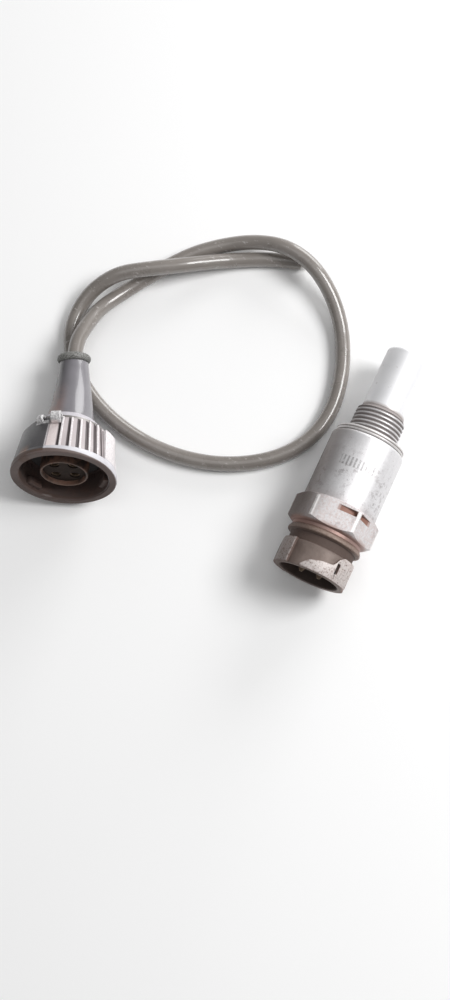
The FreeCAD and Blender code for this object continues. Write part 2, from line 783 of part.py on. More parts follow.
def boot_solid(name, stations, ruled):
    """A solid through circles that stand square to the boot's centre line."""
    circles = []
    for number, (radius, height) in enumerate(stations):
        circle = doc.addObject("Part::Circle", f"{name}_station_{number}")
        bind(circle, "Radius", radius)
        centre, lie, _ = boot_line(height)
        circle.Placement = Placement(centre, lie)
        circles.append(circle)
    solid = doc.addObject("Part::Loft", name)
    solid.Sections = circles
    solid.Solid = True
    solid.Ruled = ruled
    return solid


def build_boot():
    foot = SIZES["plug_lip_end"]
    end = SIZES["boot_end"]
    skin = []
    for number in range(8):
        step = number / 7
        radius = dim("boot_foot") + (dim("boot_tip") - dim("boot_foot")) * step
        skin.append((radius, foot + (end - foot) * step))
    bore = dim("cable_radius") + 0.3
    socket = dim("plug_tail") + dim("clearance")
    socket_end = SIZES["plug_tail_end"] + 0.2
    inside = boot_solid("boot_bore", [(socket, socket_end - 1), (bore, end - 4.2), (bore, end + 1.3)], True)
    hollow = fused("boot_hollow", [cylinder("boot_socket", socket, socket_end - foot + 0.02, foot), inside])
    keep(cut("boot", boot_solid("boot_skin", skin, False), hollow), "cable_boot", PLUG)
    bead = doc.addObject("Part::Torus", "bead")
    bind(bead, "Radius1", dim("bead_circle"))
    bind(bead, "Radius2", dim("bead_radius"))
    centre, lie, along = boot_line(end)
    bead.Placement = Placement(centre + along * SIZES["bead_radius"], lie)
    keep(bead, "boot_end_ring", PLUG)


# ---------------------------------------------------------------- cable
def rounded_path(points):
    """Straight runs joined by tangent arcs, each as large as its two runs allow."""
    reach = 0.45
    edges = []
    radii = []
    length = 0.0
    last = points[0]
    for before, here, after in zip(points, points[1:], points[2:]):
        way_in = (here - before).normalize()
        way_out = (after - here).normalize()
        half_turn = way_in.getAngle(way_out) / 2
        side = reach * min((here - before).Length, (after - here).Length)
        radius = side / math.tan(half_turn)
        enter = here - way_in * side
        leave = here + way_out * side
        inward = (way_out - way_in).normalize()
        centre = here + inward * (radius / math.cos(half_turn))
        middle = centre - inward * radius
        edges.append(Part.LineSegment(last, enter).toShape())
        edges.append(Part.Arc(enter, middle, leave).toShape())
        length += (enter - last).Length + radius * half_turn * 2
        radii.append(radius)
        last = leave
    edges.append(Part.LineSegment(last, points[-1]).toShape())
    length += (points[-1] - last).Length
    return Part.Wire(edges), radii, length


def build_cable():
    points = [Vector(*point) for point in CABLE_ROUTE]
    path, radii, length = rounded_path(points)
    radius = dim("cable_radius").value
    section = Part.Wire(Part.makeCircle(radius, points[0], points[1] - points[0]))
    cable = doc.addObject("Part::Feature", "cable_tube")
    cable.Shape = path.makePipeShell([section], True, True)
    keep(cable, "cable", Placement())
    volume = math.pi * radius ** 2 * length
    print("cable length", round(length, 1), "volume ratio", round(cable.Shape.Volume / volume, 4))
    print("cable arc radii", [round(value, 1) for value in radii])
    end = points[-1]
    along = (points[-1] - points[-2]).normalize()
    sideways = along.cross(Vector(0, 0, 1)).normalize()
    stubs = []
    for number, angle in enumerate(quarter_angles()):
        turn = math.radians(angle)
        offset = sideways * (1.15 * math.cos(turn)) + Vector(0, 0, 1.15 * math.sin(turn))
        stub_end = end + offset + along * dim("core_stub").value
        stubs.append(rod_between(f"core_stub_{number}", dim("core_radius"), end + offset, stub_end))
    keep(group("core_stubs", stubs), "cable_end_cores", Placement())


build_housing()
build_probe()
build_shell()
build_contacts()
build_electronics()
build_ring()
build_plug()
build_boot()
build_cable()
doc.recompute()

for item in doc.Objects:
    if "Invalid" in item.State or "Error" in item.State:
        raise SystemExit(f"{item.Label} failed: {item.State}")
os.makedirs("parts", exist_ok=True)
for node in nodes:
    shape = node.Shape
    if shape.isNull() or not shape.isValid() or not shape.Solids:
        raise SystemExit(f"{node.Label} has no valid solid")
    box = shape.BoundBox
    print(f"{node.Label:18s} solids {len(shape.Solids)} volume {shape.Volume:9.1f} "
          f"x {box.XMin:7.1f} {box.XMax:7.1f} y {box.YMin:6.1f} {box.YMax:6.1f} z {box.ZMin:5.2f} {box.ZMax:5.1f}")
    shape.exportStep(f"parts/{node.Label}.step")
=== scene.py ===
# %% [markdown]
# # A screw-in sensor probe and its bayonet lead
# The part is a turned steel sensor that lies on its hexagon, and beside it a plug with a ribbed
# coupling ring, a rubber boot and a thin cable. The CAD model holds every size, so this script asks
# it where things are and only makes the visible pieces finer: rounder edges, a real thread, worn
# plastic, and finishes that vary over each surface.

# %% Load the frame
import json
import math

import bpy
from mathutils import Matrix, Vector


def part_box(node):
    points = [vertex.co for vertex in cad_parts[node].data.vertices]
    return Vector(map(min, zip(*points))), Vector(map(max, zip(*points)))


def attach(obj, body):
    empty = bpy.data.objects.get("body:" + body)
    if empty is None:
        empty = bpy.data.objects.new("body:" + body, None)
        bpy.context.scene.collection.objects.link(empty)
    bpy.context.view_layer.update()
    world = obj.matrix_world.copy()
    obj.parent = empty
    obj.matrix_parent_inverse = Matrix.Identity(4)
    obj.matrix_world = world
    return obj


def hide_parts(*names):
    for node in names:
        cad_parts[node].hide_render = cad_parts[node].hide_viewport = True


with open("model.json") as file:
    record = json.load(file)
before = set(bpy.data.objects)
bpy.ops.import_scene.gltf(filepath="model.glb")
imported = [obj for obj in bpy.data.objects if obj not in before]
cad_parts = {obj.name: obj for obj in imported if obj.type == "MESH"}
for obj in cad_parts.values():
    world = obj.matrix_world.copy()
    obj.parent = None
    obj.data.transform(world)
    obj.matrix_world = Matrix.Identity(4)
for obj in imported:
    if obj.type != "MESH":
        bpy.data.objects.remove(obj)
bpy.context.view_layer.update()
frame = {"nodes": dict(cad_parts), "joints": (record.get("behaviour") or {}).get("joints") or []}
MM = 0.001

# %% [markdown]
# Round pieces are easiest to shape about the Z axis. So each assembly is modelled upright at the
# origin and then laid down: the sensor from the rear face of its hexagon, the plug from its mouth.
# The sensor's height is half its hexagon, and the plug's axis is the one its ring turns about.

# %% Where each assembly lies
NECK = 1.3 * MM
RING_JOINT_DEPTH = 8 * MM
housing_low, housing_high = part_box("sensor_housing")
SENSOR_PLACE = Matrix.Translation((0, housing_low.y + NECK, housing_high.z / 2))
SENSOR_PLACE = SENSOR_PLACE @ Matrix.Rotation(-math.pi / 2, 4, "X")

ring_joint = [joint for joint in frame["joints"] if joint["name"] == "ring_turn"][0]
plug_axis = Vector(ring_joint["axis"]).normalized()
plug_mouth = Vector(ring_joint["pos_m"]) - plug_axis * RING_JOINT_DEPTH
plug_turn = math.atan2(-plug_axis.x, plug_axis.y)
plug_tilt = math.asin(-plug_axis.z)
PLUG_PLACE = Matrix.Translation(plug_mouth) @ Matrix.Rotation(plug_turn, 4, "Z")
PLUG_PLACE = PLUG_PLACE @ Matrix.Rotation(-math.pi / 2 - plug_tilt, 4, "X")
print(
    "plug mouth", plug_mouth, "turned", round(math.degrees(plug_turn), 2),
    "tilted", round(math.degrees(plug_tilt), 2),
)

# %% [markdown]
# The camera looks steeply down on the table, a little turned to the sensor's axis, from half a metre.
# It is set first, because how the cable lies is judged from it. The table is a plain pale sheet, and
# three large soft lamps give the long gentle highlights that show a round bar as round.

# %% Camera, table and light
LOOK_AT = Vector((-38.3, -28.2, 0)) * MM
CAMERA_DISTANCE = 495 * MM
CAMERA_HEIGHT = math.radians(76.5)
CAMERA_TURN = math.radians(27.4)
CAMERA_ROLL = math.radians(-2.5)
FOCAL_LENGTH = 50.4
TABLE_SIZE = 6
TABLE_GAP = 0.0002
SURROUND = 0.25
back = Vector((math.sin(CAMERA_TURN), -math.cos(CAMERA_TURN), 0)) * math.cos(CAMERA_HEIGHT)
back.z = math.sin(CAMERA_HEIGHT)
camera_data = bpy.data.cameras.new("camera")
camera_data.lens = FOCAL_LENGTH
camera_data.sensor_width = 36
camera_data.clip_start = 0.02
camera = bpy.data.objects.new("camera", camera_data)
bpy.context.scene.collection.objects.link(camera)
facing = back.to_track_quat("Z", "Y").to_matrix().to_4x4()
rolled = Matrix.Rotation(CAMERA_ROLL, 4, "Z")
camera.matrix_world = Matrix.Translation(LOOK_AT + back * CAMERA_DISTANCE) @ facing @ rolled
bpy.context.scene.camera = camera

bpy.ops.object.select_all(action="DESELECT")
bpy.ops.mesh.primitive_plane_add(size=TABLE_SIZE, location=(0, 0, -TABLE_GAP))
table = bpy.context.object
table.name = "table"
table_paint = bpy.data.materials.new("table_paint")
table_paint.use_nodes = True
table_paint.node_tree.nodes["Principled BSDF"].inputs["Base Color"].default_value = (0.93, 0.93, 0.93, 1)
table_paint.node_tree.nodes["Principled BSDF"].inputs["Roughness"].default_value = 0.9
table.data.materials.append(table_paint)

world = bpy.data.worlds.new("studio")
world.use_nodes = True
world.node_tree.nodes["Background"].inputs["Color"].default_value = (1, 1, 1, 1)
world.node_tree.nodes["Background"].inputs["Strength"].default_value = SURROUND
bpy.context.scene.world = world
bpy.context.scene.view_settings.view_transform = "Standard"


def lamp(name, place, size, power):
    """A square soft lamp, turned to the middle of the part."""
    data = bpy.data.lights.new(name, "AREA")
    data.size = size
    data.energy = power
    made = bpy.data.objects.new(name, data)
    bpy.context.scene.collection.objects.link(made)
    away = Vector(place) - LOOK_AT
    made.matrix_world = Matrix.Translation(place) @ away.to_track_quat("Z", "Y").to_matrix().to_4x4()
    return made


lamp("window", (0.5, 0.34, 0.75), 0.42, 7.4)
lamp("back_strip", (0.1, 1.0, 0.3), 0.6, 6.0)
lamp("ceiling", (-0.1, -0.1, 1.1), 0.8, 1.8)
print("camera", camera.matrix_world.translation)

# %% [markdown]
# Blender's operators act on whatever is selected, so every step starts from a clean selection.
# A turned piece grows like it would on paper: one ring of points is drawn out along the axis, and at
# every corner of the outline it is moved and resized. That keeps one loop of faces per corner, which
# the Bevel modifier can round evenly afterwards.

# %% Modelling helpers
ROUND_STEPS = 96


def only(piece):
    """Selects one piece and makes it active."""
    bpy.ops.object.select_all(action="DESELECT")
    piece.select_set(True)
    bpy.context.view_layer.objects.active = piece


def fix_normals(piece):
    """Merges doubled points and turns every face outward."""
    only(piece)
    bpy.ops.object.mode_set(mode="EDIT")
    bpy.ops.mesh.select_all(action="SELECT")
    bpy.ops.mesh.remove_doubles(threshold=0.000004)
    bpy.ops.mesh.normals_make_consistent(inside=False)
    bpy.ops.object.mode_set(mode="OBJECT")


def turned(name, outline, hollow=True, steps=ROUND_STEPS):
    """Draws a ring out through (radius, height) corners in mm. A hollow piece ends where it started."""
    bpy.ops.object.select_all(action="DESELECT")
    radius, height = outline[0]
    fill = "NOTHING" if hollow else "NGON"
    bpy.ops.mesh.primitive_circle_add(vertices=steps, radius=radius * MM, fill_type=fill)
    piece = bpy.context.object
    piece.name = name
    bpy.ops.object.mode_set(mode="EDIT")
    bpy.ops.mesh.select_all(action="SELECT")
    bpy.ops.transform.translate(value=(0, 0, height * MM))
    for next_radius, next_height in outline[1:] + (outline[:1] if hollow else []):
        bpy.ops.mesh.extrude_region_move(TRANSFORM_OT_translate={"value": (0, 0, (next_height - height) * MM)})
        scale = next_radius / radius
        bpy.ops.transform.resize(value=(scale, scale, 1))
        radius, height = next_radius, next_height
    bpy.ops.object.mode_set(mode="OBJECT")
    fix_normals(piece)
    return piece


def quarter_round(radius, height, size, turns=5):
    """The corners of a rounded edge, ending a straight side at (radius, height)."""
    corners = []
    for step in range(turns + 1):
        angle = math.pi / 2 * step / turns
        corners.append((radius - size + size * math.cos(angle), height - size + size * math.sin(angle)))
    return corners


def soften(piece, width=0.15, segments=2, angle=28):
    """Rounds every edge sharper than the angle by a width in mm, and shades the rest smooth."""
    only(piece)
    bevel = piece.modifiers.new("soft_edges", "BEVEL")
    bevel.width = width * MM
    bevel.segments = segments
    bevel.limit_method = "ANGLE"
    bevel.angle_limit = math.radians(angle)
    bevel.use_clamp_overlap = True
    bpy.ops.object.modifier_apply(modifier=bevel.name)
    bpy.ops.object.shade_smooth_by_angle(angle=math.radians(40))
    return piece


def smooth(piece, angle):
    """Shades a piece smooth, except across edges sharper than the angle in degrees."""
    only(piece)
    bpy.ops.object.shade_smooth_by_angle(angle=math.radians(angle))


def carve(piece, tool, operation="DIFFERENCE"):
    """Cuts, adds or keeps the shape of another closed piece, which is used up."""
    only(piece)
    boolean = piece.modifiers.new("carve", "BOOLEAN")
    boolean.operation = operation
    boolean.solver = "EXACT"
    boolean.object = tool
    bpy.ops.object.modifier_apply(modifier=boolean.name)
    bpy.data.objects.remove(tool, do_unlink=True)
    return piece


def joined(pieces, name):
    """Makes several meshes one piece."""
    only(pieces[0])
    for piece in pieces:
        piece.select_set(True)
    bpy.ops.object.join()
    pieces[0].name = name
    return pieces[0]


def copied(piece, turn):
    """A copy of a piece with its own mesh, turned about the Z axis by an angle in degrees."""
    twin = piece.copy()
    twin.data = piece.data.copy()
    bpy.context.scene.collection.objects.link(twin)
    twin.data.transform(Matrix.Rotation(math.radians(turn), 4, "Z"))
    return twin


def settle(piece, place, body):
    """Lays a piece down where the CAD has it, with its place in its mesh, and lets it ride on its body."""
    only(piece)
    piece.matrix_world = place @ piece.matrix_world
    bpy.ops.object.transform_apply(location=True, rotation=True, scale=True)
    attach(piece, body)
    print(piece.name, "faces", len(piece.data.polygons))
    return piece


def block(name, size, place):
    """A box with its sides in mm, put at a place in mm."""
    bpy.ops.object.select_all(action="DESELECT")
    spot = [value * MM for value in place]
    bpy.ops.mesh.primitive_cube_add(size=1, location=spot)
    piece = bpy.context.object
    piece.name = name
    piece.scale = [value * MM for value in size]
    bpy.ops.object.transform_apply(location=True, rotation=True, scale=True)
    return piece


def swept_block(name, radii, heights, start, sweep, steps=16):
    """A curved block: an upright rectangle between two radii, spun about the axis."""
    bpy.ops.object.select_all(action="DESELECT")
    middle = [(radii[0] + radii[1]) / 2 * MM, 0, (heights[0] + heights[1]) / 2 * MM]
    bpy.ops.mesh.primitive_plane_add(size=1, location=middle, rotation=(math.pi / 2, 0, 0))
    piece = bpy.context.object
    piece.name = name
    piece.scale = ((radii[1] - radii[0]) * MM, (heights[1] - heights[0]) * MM, 1)
    bpy.ops.object.transform_apply(location=True, rotation=True, scale=True)
    piece.data.transform(Matrix.Rotation(math.radians(start), 4, "Z"))
    bpy.ops.object.mode_set(mode="EDIT")
    bpy.ops.mesh.select_all(action="SELECT")
    bpy.ops.mesh.spin(steps=steps, angle=math.radians(sweep), center=(0, 0, 0), axis=(0, 0, -1))
    bpy.ops.object.mode_set(mode="OBJECT")
    fix_normals(piece)
    return piece


# %% [markdown]
# Finishes are written as sums. A `Channel` wraps one output socket of a shader node, and adding or
# multiplying channels adds Math nodes. A `Finish` is one material: it makes nodes, places patterns in
# an assembly's own upright frame, and feeds the shader. Only colour, roughness, metallic and the
# surface normal vary over a surface. Everything else is a plain number on the shader.

# %% A small language for materials
class Channel:
    """A number that changes over the surface."""

    def __init__(self, finish, socket):
        self.finish = finish
        self.socket = socket

    def sum(self, operation, first, second):
        return self.finish.node("ShaderNodeMath", {"operation": operation}, {0: first, 1: second})

    def __add__(self, other):
        return self.sum("ADD", self, other)

    def __sub__(self, other):
        return self.sum("SUBTRACT", self, other)

    def __rsub__(self, other):
        return self.sum("SUBTRACT", other, self)

    def __mul__(self, other):
        return self.sum("MULTIPLY", self, other)

    __radd__ = __add__
    __rmul__ = __mul__

    def more_of(self, other):
        return self.sum("MAXIMUM", self, other)

    def wave(self):
        return self.sum("SINE", self, 0.0)


class Finish:
    """One procedural material."""

    def __init__(self, name, roughness, metallic=0.0, coat=0.0, specular=0.5):
        self.material = bpy.data.materials.new(name)
        self.material.use_nodes = True
        self.tree = self.material.node_tree
        self.shader = self.tree.nodes["Principled BSDF"]
        self.shader.inputs["Roughness"].default_value = roughness
        self.shader.inputs["Metallic"].default_value = metallic
        self.shader.inputs["Coat Weight"].default_value = coat
        self.shader.inputs["Specular IOR Level"].default_value = specular
        self.place = self.node("ShaderNodeTexCoord", output="Object")

    def node(self, kind, settings=None, inputs=None, output=0):
        made = self.tree.nodes.new(kind)
        for key, value in (settings or {}).items():
            setattr(made, key, value)
        for key, value in (inputs or {}).items():
            self.feed(made.inputs[key], value)
        return Channel(self, made.outputs[output])

    def feed(self, socket, value):
        if isinstance(value, Channel):
            self.tree.links.new(value.socket, socket)
        elif socket.type == "RGBA":
            socket.default_value = (*value[:3], 1)
        else:
            socket.default_value = value

    def upright(self, place):
        """The point in an assembly's own frame, in millimetres, with its axis along Z."""
        moved = self.node(
            "ShaderNodeMapping",
            {"vector_type": "TEXTURE"},
            {"Vector": self.place, "Location": place.translation, "Rotation": place.to_euler()},
        )
        return self.node("ShaderNodeVectorMath", {"operation": "SCALE"}, {0: moved, "Scale": 1 / MM})

    def axes(self, point):
        """Its three numbers."""
        made = self.tree.nodes.new("ShaderNodeSeparateXYZ")
        self.feed(made.inputs[0], point)
        return [Channel(self, socket) for socket in made.outputs]

    def radius(self, point):
        """The distance from the axis."""
        flat = self.node("ShaderNodeVectorMath", {"operation": "MULTIPLY"}, {0: point, 1: (1, 1, 0)})
        return self.node("ShaderNodeVectorMath", {"operation": "LENGTH"}, {0: flat}, "Value")

    def angle(self, point):
        """The angle about the axis in degrees. The top of the sensor is at -90."""
        across, down, _ = self.axes(point)
        return self.node("ShaderNodeMath", {"operation": "ARCTAN2"}, {0: down, 1: across}) * (180 / math.pi)

    def between(self, value, low, high, edge):
        """One inside a span, and zero outside, with soft edges."""
        return self.rise(value, low - edge, low + edge) * self.rise(value, high + edge, high - edge)

    def noise(self, point, size, detail=4.0, roughness=0.55, stretch=(1, 1, 1), seed=0.0):
        """Cloudy variation about 0.5, with lumps about that size in mm."""
        scale = [value / size for value in stretch]
        at = self.node("ShaderNodeMapping", {}, {"Vector": point, "Scale": scale, "Location": (seed, seed, seed)})
        inputs = {"Vector": at, "Scale": 1.0, "Detail": detail, "Roughness": roughness}
        return self.node("ShaderNodeTexNoise", {}, inputs)

    def rise(self, value, low, high):
        """Goes smoothly from zero to one as the value goes from low to high."""
        inputs = {"Value": value, "From Min": low, "From Max": high}
        return self.node("ShaderNodeMapRange", {"interpolation_type": "SMOOTHSTEP"}, inputs)

    def mix(self, amount, first, second):
        """A colour between two, by a channel."""
        return self.node("ShaderNodeMix", {"data_type": "RGBA"}, {0: amount, 6: first, 7: second}, 2)

    def dents(self, height, depth, strength=1.0):
        """Bumps the surface by the channel times a depth in mm."""
        inputs = {"Height": height, "Distance": depth * MM, "Strength": strength}
        return self.node("ShaderNodeBump", {}, inputs)

    def finish(self, color=None, roughness=None, metallic=None, normal=None):
        """Feeds the shader what is given, and returns the material."""
        given = {"Base Color": color, "Roughness": roughness, "Metallic": metallic, "Normal": normal}
        for key, value in given.items():
            if value is not None:
                self.feed(self.shader.inputs[key], value)
        return self.material


def dress(piece, material):
    """Gives a piece one material and no other."""
    piece.data.materials.clear()
    piece.data.materials.append(material)


# %% [markdown]
# The cable is a round rubber hose that keeps its length however it lies. A curve with a round bevel
# is the natural way to draw it, because its section stays true while its line is shaped. The bevel
# has a depth of one, and every point's own radius is the cable's, which also keeps its box true. The
# line leaves the boot, runs round an open loop, comes back behind the plug, passes over its own first
# strand, and its cut end lies under the loop again.

# %% The cable's line
CABLE_RADIUS = 2.7
CABLE_POINTS = [
    (-105.0, -11.2, 11.5), (-109.4, -2.0, 11.6), (-109.4, 7.8, 9.2), (-108.6, 16.8, 5.6),
    (-105.0, 24.8, 3.4), (-100.4, 33.0, 2.7), (-94.6, 41.8, 2.7), (-88.0, 50.6, 2.7),
    (-79.4, 57.8, 3.4), (-68.8, 63.0, 6.4), (-57.4, 64.8, 9.7), (-46.0, 62.6, 9.7),
    (-36.0, 57.0, 6.4), (-27.8, 48.6, 3.4), (-22.2, 38.6, 2.7), (-18.5, 27.6, 2.7),
    (-17.1, 16.2, 2.7), (-19.3, 4.9, 2.7), (-25.7, -5.1, 2.7), (-35.2, -12.8, 2.7),
    (-46.2, -18.2, 2.7), (-58.2, -21.2, 2.7), (-70.4, -21.9, 2.7), (-82.2, -20.3, 2.7),
    (-92.8, -16.9, 2.7), (-102.6, -11.4, 2.7), (-110.6, -3.8, 2.7), (-115.4, 5.0, 2.7),
    (-116.4, 14.2, 3.2), (-114.0, 22.6, 5.8), (-107.8, 30.0, 9.4), (-99.2, 35.2, 10.4),
    (-89.8, 41.4, 9.4), (-80.6, 48.8, 6.0), (-70.6, 55.8, 3.0), (-60.4, 61.0, 2.7),
    (-50.4, 64.0, 2.7),
]
line = bpy.data.curves.new("cable_line", "CURVE")
line.dimensions = "3D"
spline = line.splines.new("NURBS")
spline.points.add(len(CABLE_POINTS) - 1)
for point, place in zip(spline.points, CABLE_POINTS):
    point.co = (*(value * MM for value in place), 1)
    point.radius = CABLE_RADIUS * MM
spline.order_u = 3
spline.use_endpoint_u = True
spline.use_smooth = True
line.resolution_u = 10
line.bevel_depth = 1.0
line.bevel_resolution = 7
line.use_fill_caps = True
cable = bpy.data.objects.new("cable_jacket", line)
bpy.context.scene.collection.objects.link(cable)
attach(cable, "root")
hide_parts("cable")

# %% [markdown]
# The sensor's housing is turned from one hexagon bar. The round part is drawn as one closed outline
# with its bore, so it has a real wall. The hexagon is a six-sided cylinder that is kept only where it
# meets a disc with sloping edges: that is how a nut gets the curved bright arcs on its flats.

# %% Housing: barrel, neck and bore
HEX_ACROSS = 27.0
HEX_LENGTH = 10.4
BARREL = 13.2
BARREL_END = 35.3


def selected_where(piece, test):
    """In edit mode, selects the points whose place in mm passes the test."""
    only(piece)
    bpy.ops.object.mode_set(mode="EDIT")
    bpy.ops.mesh.select_mode(type="VERT")
    bpy.ops.mesh.select_all(action="DESELECT")
    bpy.ops.object.mode_set(mode="OBJECT")
    for vertex in piece.data.vertices:
        vertex.select = test(vertex.co / MM)
    bpy.ops.object.mode_set(mode="EDIT")


def shifted(piece, test, move):
    """Moves the points that pass the test, in mm."""
    selected_where(piece, test)
    bpy.ops.transform.translate(value=[value * MM for value in move])
    bpy.ops.object.mode_set(mode="OBJECT")


outline = [(10.7, -1.3), (12.45, -1.3), (12.6, -1.1), (12.6, 0.6)]
outline += [(12.6, 4.0), (BARREL, 4.0), (BARREL, 10.9)]
outline += [(BARREL, 18.0), (BARREL, 26.0)]
outline += quarter_round(BARREL, BARREL_END, 1.3, 6)
outline += [(8.4, BARREL_END), (7.95, BARREL_END + 0.4), (7.95, 37.5)]
outline += [(8.08, 37.8), (8.08, 47.0), (7.95, 47.2)]
outline += [(7.9, 47.5), (7.8, 47.6), (6.65, 47.6), (6.65, 34.5), (9.2, 32.0), (9.2, 6.4), (10.7, 6.4)]
housing = turned("housing", outline)
print("barrel outline corners", len(outline))

# %% Housing: hexagon with nut chamfers and the slot for a seal wire
bpy.ops.object.select_all(action="DESELECT")
bpy.ops.mesh.primitive_cylinder_add(
    vertices=6, radius=HEX_ACROSS / math.sqrt(3) * MM, depth=HEX_LENGTH * MM,
    location=(0, 0, HEX_LENGTH / 2 * MM), rotation=(0, 0, math.radians(30)),
)
hexagon = bpy.context.object
bpy.ops.object.transform_apply(location=True, rotation=True, scale=True)
only(hexagon)
bpy.ops.object.mode_set(mode="EDIT")
bpy.ops.mesh.select_mode(type="EDGE")
bpy.ops.mesh.select_all(action="DESELECT")
bpy.ops.object.mode_set(mode="OBJECT")
for edge in hexagon.data.edges:
    first, second = [hexagon.data.vertices[index].co for index in edge.vertices]
    edge.select = abs(first.z - second.z) > 5 * MM
bpy.ops.object.mode_set(mode="EDIT")
bpy.ops.mesh.bevel(offset=0.35 * MM, segments=3)
bpy.ops.object.mode_set(mode="OBJECT")
nut_disc = turned("nut_disc", [(12.7, 0), (16.2, 2.0), (16.2, HEX_LENGTH - 2.0), (12.7, HEX_LENGTH)], hollow=False)
carve(hexagon, nut_disc, "INTERSECT")
for size, place in (((3.4, 27.0, 1.9), (13.4, 0, 7.85)), ((2.4, 3.4, 0.7), (15.6, 0, 9.4))):
    slot = block("slot", size, place)
    slot.data.transform(Matrix.Rotation(math.radians(-60), 4, "Z"))
    carve(hexagon, slot)
bore_plug = turned("bore_plug", [(11.5, -2), (11.5, 13)], hollow=False)
carve(hexagon, bore_plug)
smooth(hexagon, 25)
print("hexagon faces", len(hexagon.data.polygons))

# %% [markdown]
# The thread is one long ridge wound round the nose. Its section is a small four-sided outline, the
# Screw modifier winds it up by one pitch a turn, and its two open ends are filled. Cutting it with a
# disc that has sloping ends lets the ridge fade in and out, as a die leaves it.

# %% Housing: the M18 thread
PITCH = 1.5
bpy.ops.object.select_all(action="DESELECT")
bpy.ops.mesh.primitive_plane_add(size=1, location=(8.5 * MM, 0, 0), rotation=(math.pi / 2, 0, 0))
thread = bpy.context.object
thread.name = "thread"
thread.scale = (1.0 * MM, 1.4 * MM, 1)
bpy.ops.object.transform_apply(location=True, rotation=True, scale=True)
selected_where(thread, lambda place: place.x > 8.5)
bpy.ops.transform.resize(value=(1, 1, 0.22), center_override=(8.5 * MM, 0, 0))
bpy.ops.mesh.select_all(action="SELECT")
bpy.ops.mesh.delete(type="ONLY_FACE")
bpy.ops.mesh.select_all(action="SELECT")
bpy.ops.transform.translate(value=(0, 0, 36.9 * MM))
bpy.ops.object.mode_set(mode="OBJECT")
winding = thread.modifiers.new("winding", "SCREW")
winding.screw_offset = PITCH * MM
winding.iterations = 7
winding.steps = 72
winding.render_steps = 72
winding.use_merge_vertices = False
only(thread)
bpy.ops.object.modifier_apply(modifier=winding.name)
bpy.ops.object.mode_set(mode="EDIT")
bpy.ops.mesh.select_all(action="SELECT")
bpy.ops.mesh.fill_holes(sides=4)
bpy.ops.object.mode_set(mode="OBJECT")
fix_normals(thread)
die = turned("die", [(7.8, 37.8), (9.02, 38.9), (9.02, 46.2), (7.8, 47.3)], hollow=False)
carve(thread, die, "INTERSECT")
smooth(thread, 35)
smooth(housing, 35)
housing = joined([housing, hexagon, thread], "sensor_housing_body")
settle(housing, SENSOR_PLACE, "root")
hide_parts("sensor_housing")

# %% [markdown]
# The probe is a thin drawn tube with a closed, rounded end, pressed into the nose. It starts as a
# filled disc on the inside of its end, so the outline can walk down the inner wall, round the foot
# and up the outside to the tip. The gasket is a washer with two rolled edges.

# %% Probe tube and gasket
PROBE = 7.75
outline = [(5.3, 70.4), (6.5, 70.1), (6.95, 69.4), (6.95, 48.9), (6.4, 48.4), (5.8, 48.4), (5.8, 36.0)]
outline += [(6.6, 36.0), (6.6, 47.62), (7.55, 47.62), (PROBE, 47.9), (PROBE, 55.0), (PROBE, 63.0)]
outline += quarter_round(PROBE, 71.2, 1.7, 7)[:-1] + [(5.9, 71.22), (4.0, 71.28), (2.0, 71.3)]
probe = turned("probe_tube_body", outline, hollow=False)
smooth(probe, 35)
settle(probe, SENSOR_PLACE, "root")
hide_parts("probe_tube")

outline = [(9.15, 35.5), (9.4, 35.32), (11.9, 35.32), (12.3, 35.5)]
outline += [(12.5, 35.9), (12.5, 36.15), (12.3, 36.35)]
outline += [(12.3, 36.45), (12.5, 36.65), (12.5, 36.95), (12.3, 37.3)]
outline += [(11.9, 37.48), (9.4, 37.48), (9.15, 37.3)]
gasket = turned("crush_gasket", outline)
smooth(gasket, 50)
settle(gasket, SENSOR_PLACE, "root")
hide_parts("seat_gasket")

# %% [markdown]
# The connector's shell carries the other half of the bayonet: three raised ramps. Each begins as a
# sliver at the mouth, climbs in a curve, passes a small pocket where the catch drops in, and ends in
# a straight edge. One ramp is spun as a flat block, its top is drawn up station by station, and the
# other two are copies of it.

# %% Connector shell
outline = [(10.4, -15.3), (10.7, -15.65), (11.8, -15.7), (12.15, -15.4)]
outline += [(12.15, -11.0), (12.15, -7.2), (11.95, -6.9)]
outline += [(11.7, -6.6), (11.7, -3.6), (12.2, -3.3), (13.05, -3.1)]
outline += [(13.3, -2.8), (13.25, -2.2), (12.75, -1.3)]
outline += [(10.65, -1.3), (10.65, 2.15), (9.2, 2.15), (9.2, 3.85), (10.65, 3.85), (10.65, 6.0), (8.4, 6.0)]
outline += [(8.4, -1.6), (10.4, -1.6)]
shell = turned("shell", outline)
smooth(shell, 32)

# %% Bayonet ramps on the shell
LUG_START = -108.0
LUG_SWEEP = 97.0
LUG_STEPS = 32
LUG_HEIGHTS = [(0, 0.4), (6, 1.7), (12, 2.8), (30, 4.0), (44, 4.4), (50, 5.0), (55, 7.4), (64, 8.6), (97, 8.7)]


def height_at(turn):
    """The ramp's height above the mouth at an angle along it."""
    for (low, low_height), (high, high_height) in zip(LUG_HEIGHTS, LUG_HEIGHTS[1:]):
        if turn <= high:
            return low_height + (high_height - low_height) * (turn - low) / (high - low)
    return LUG_HEIGHTS[-1][1]


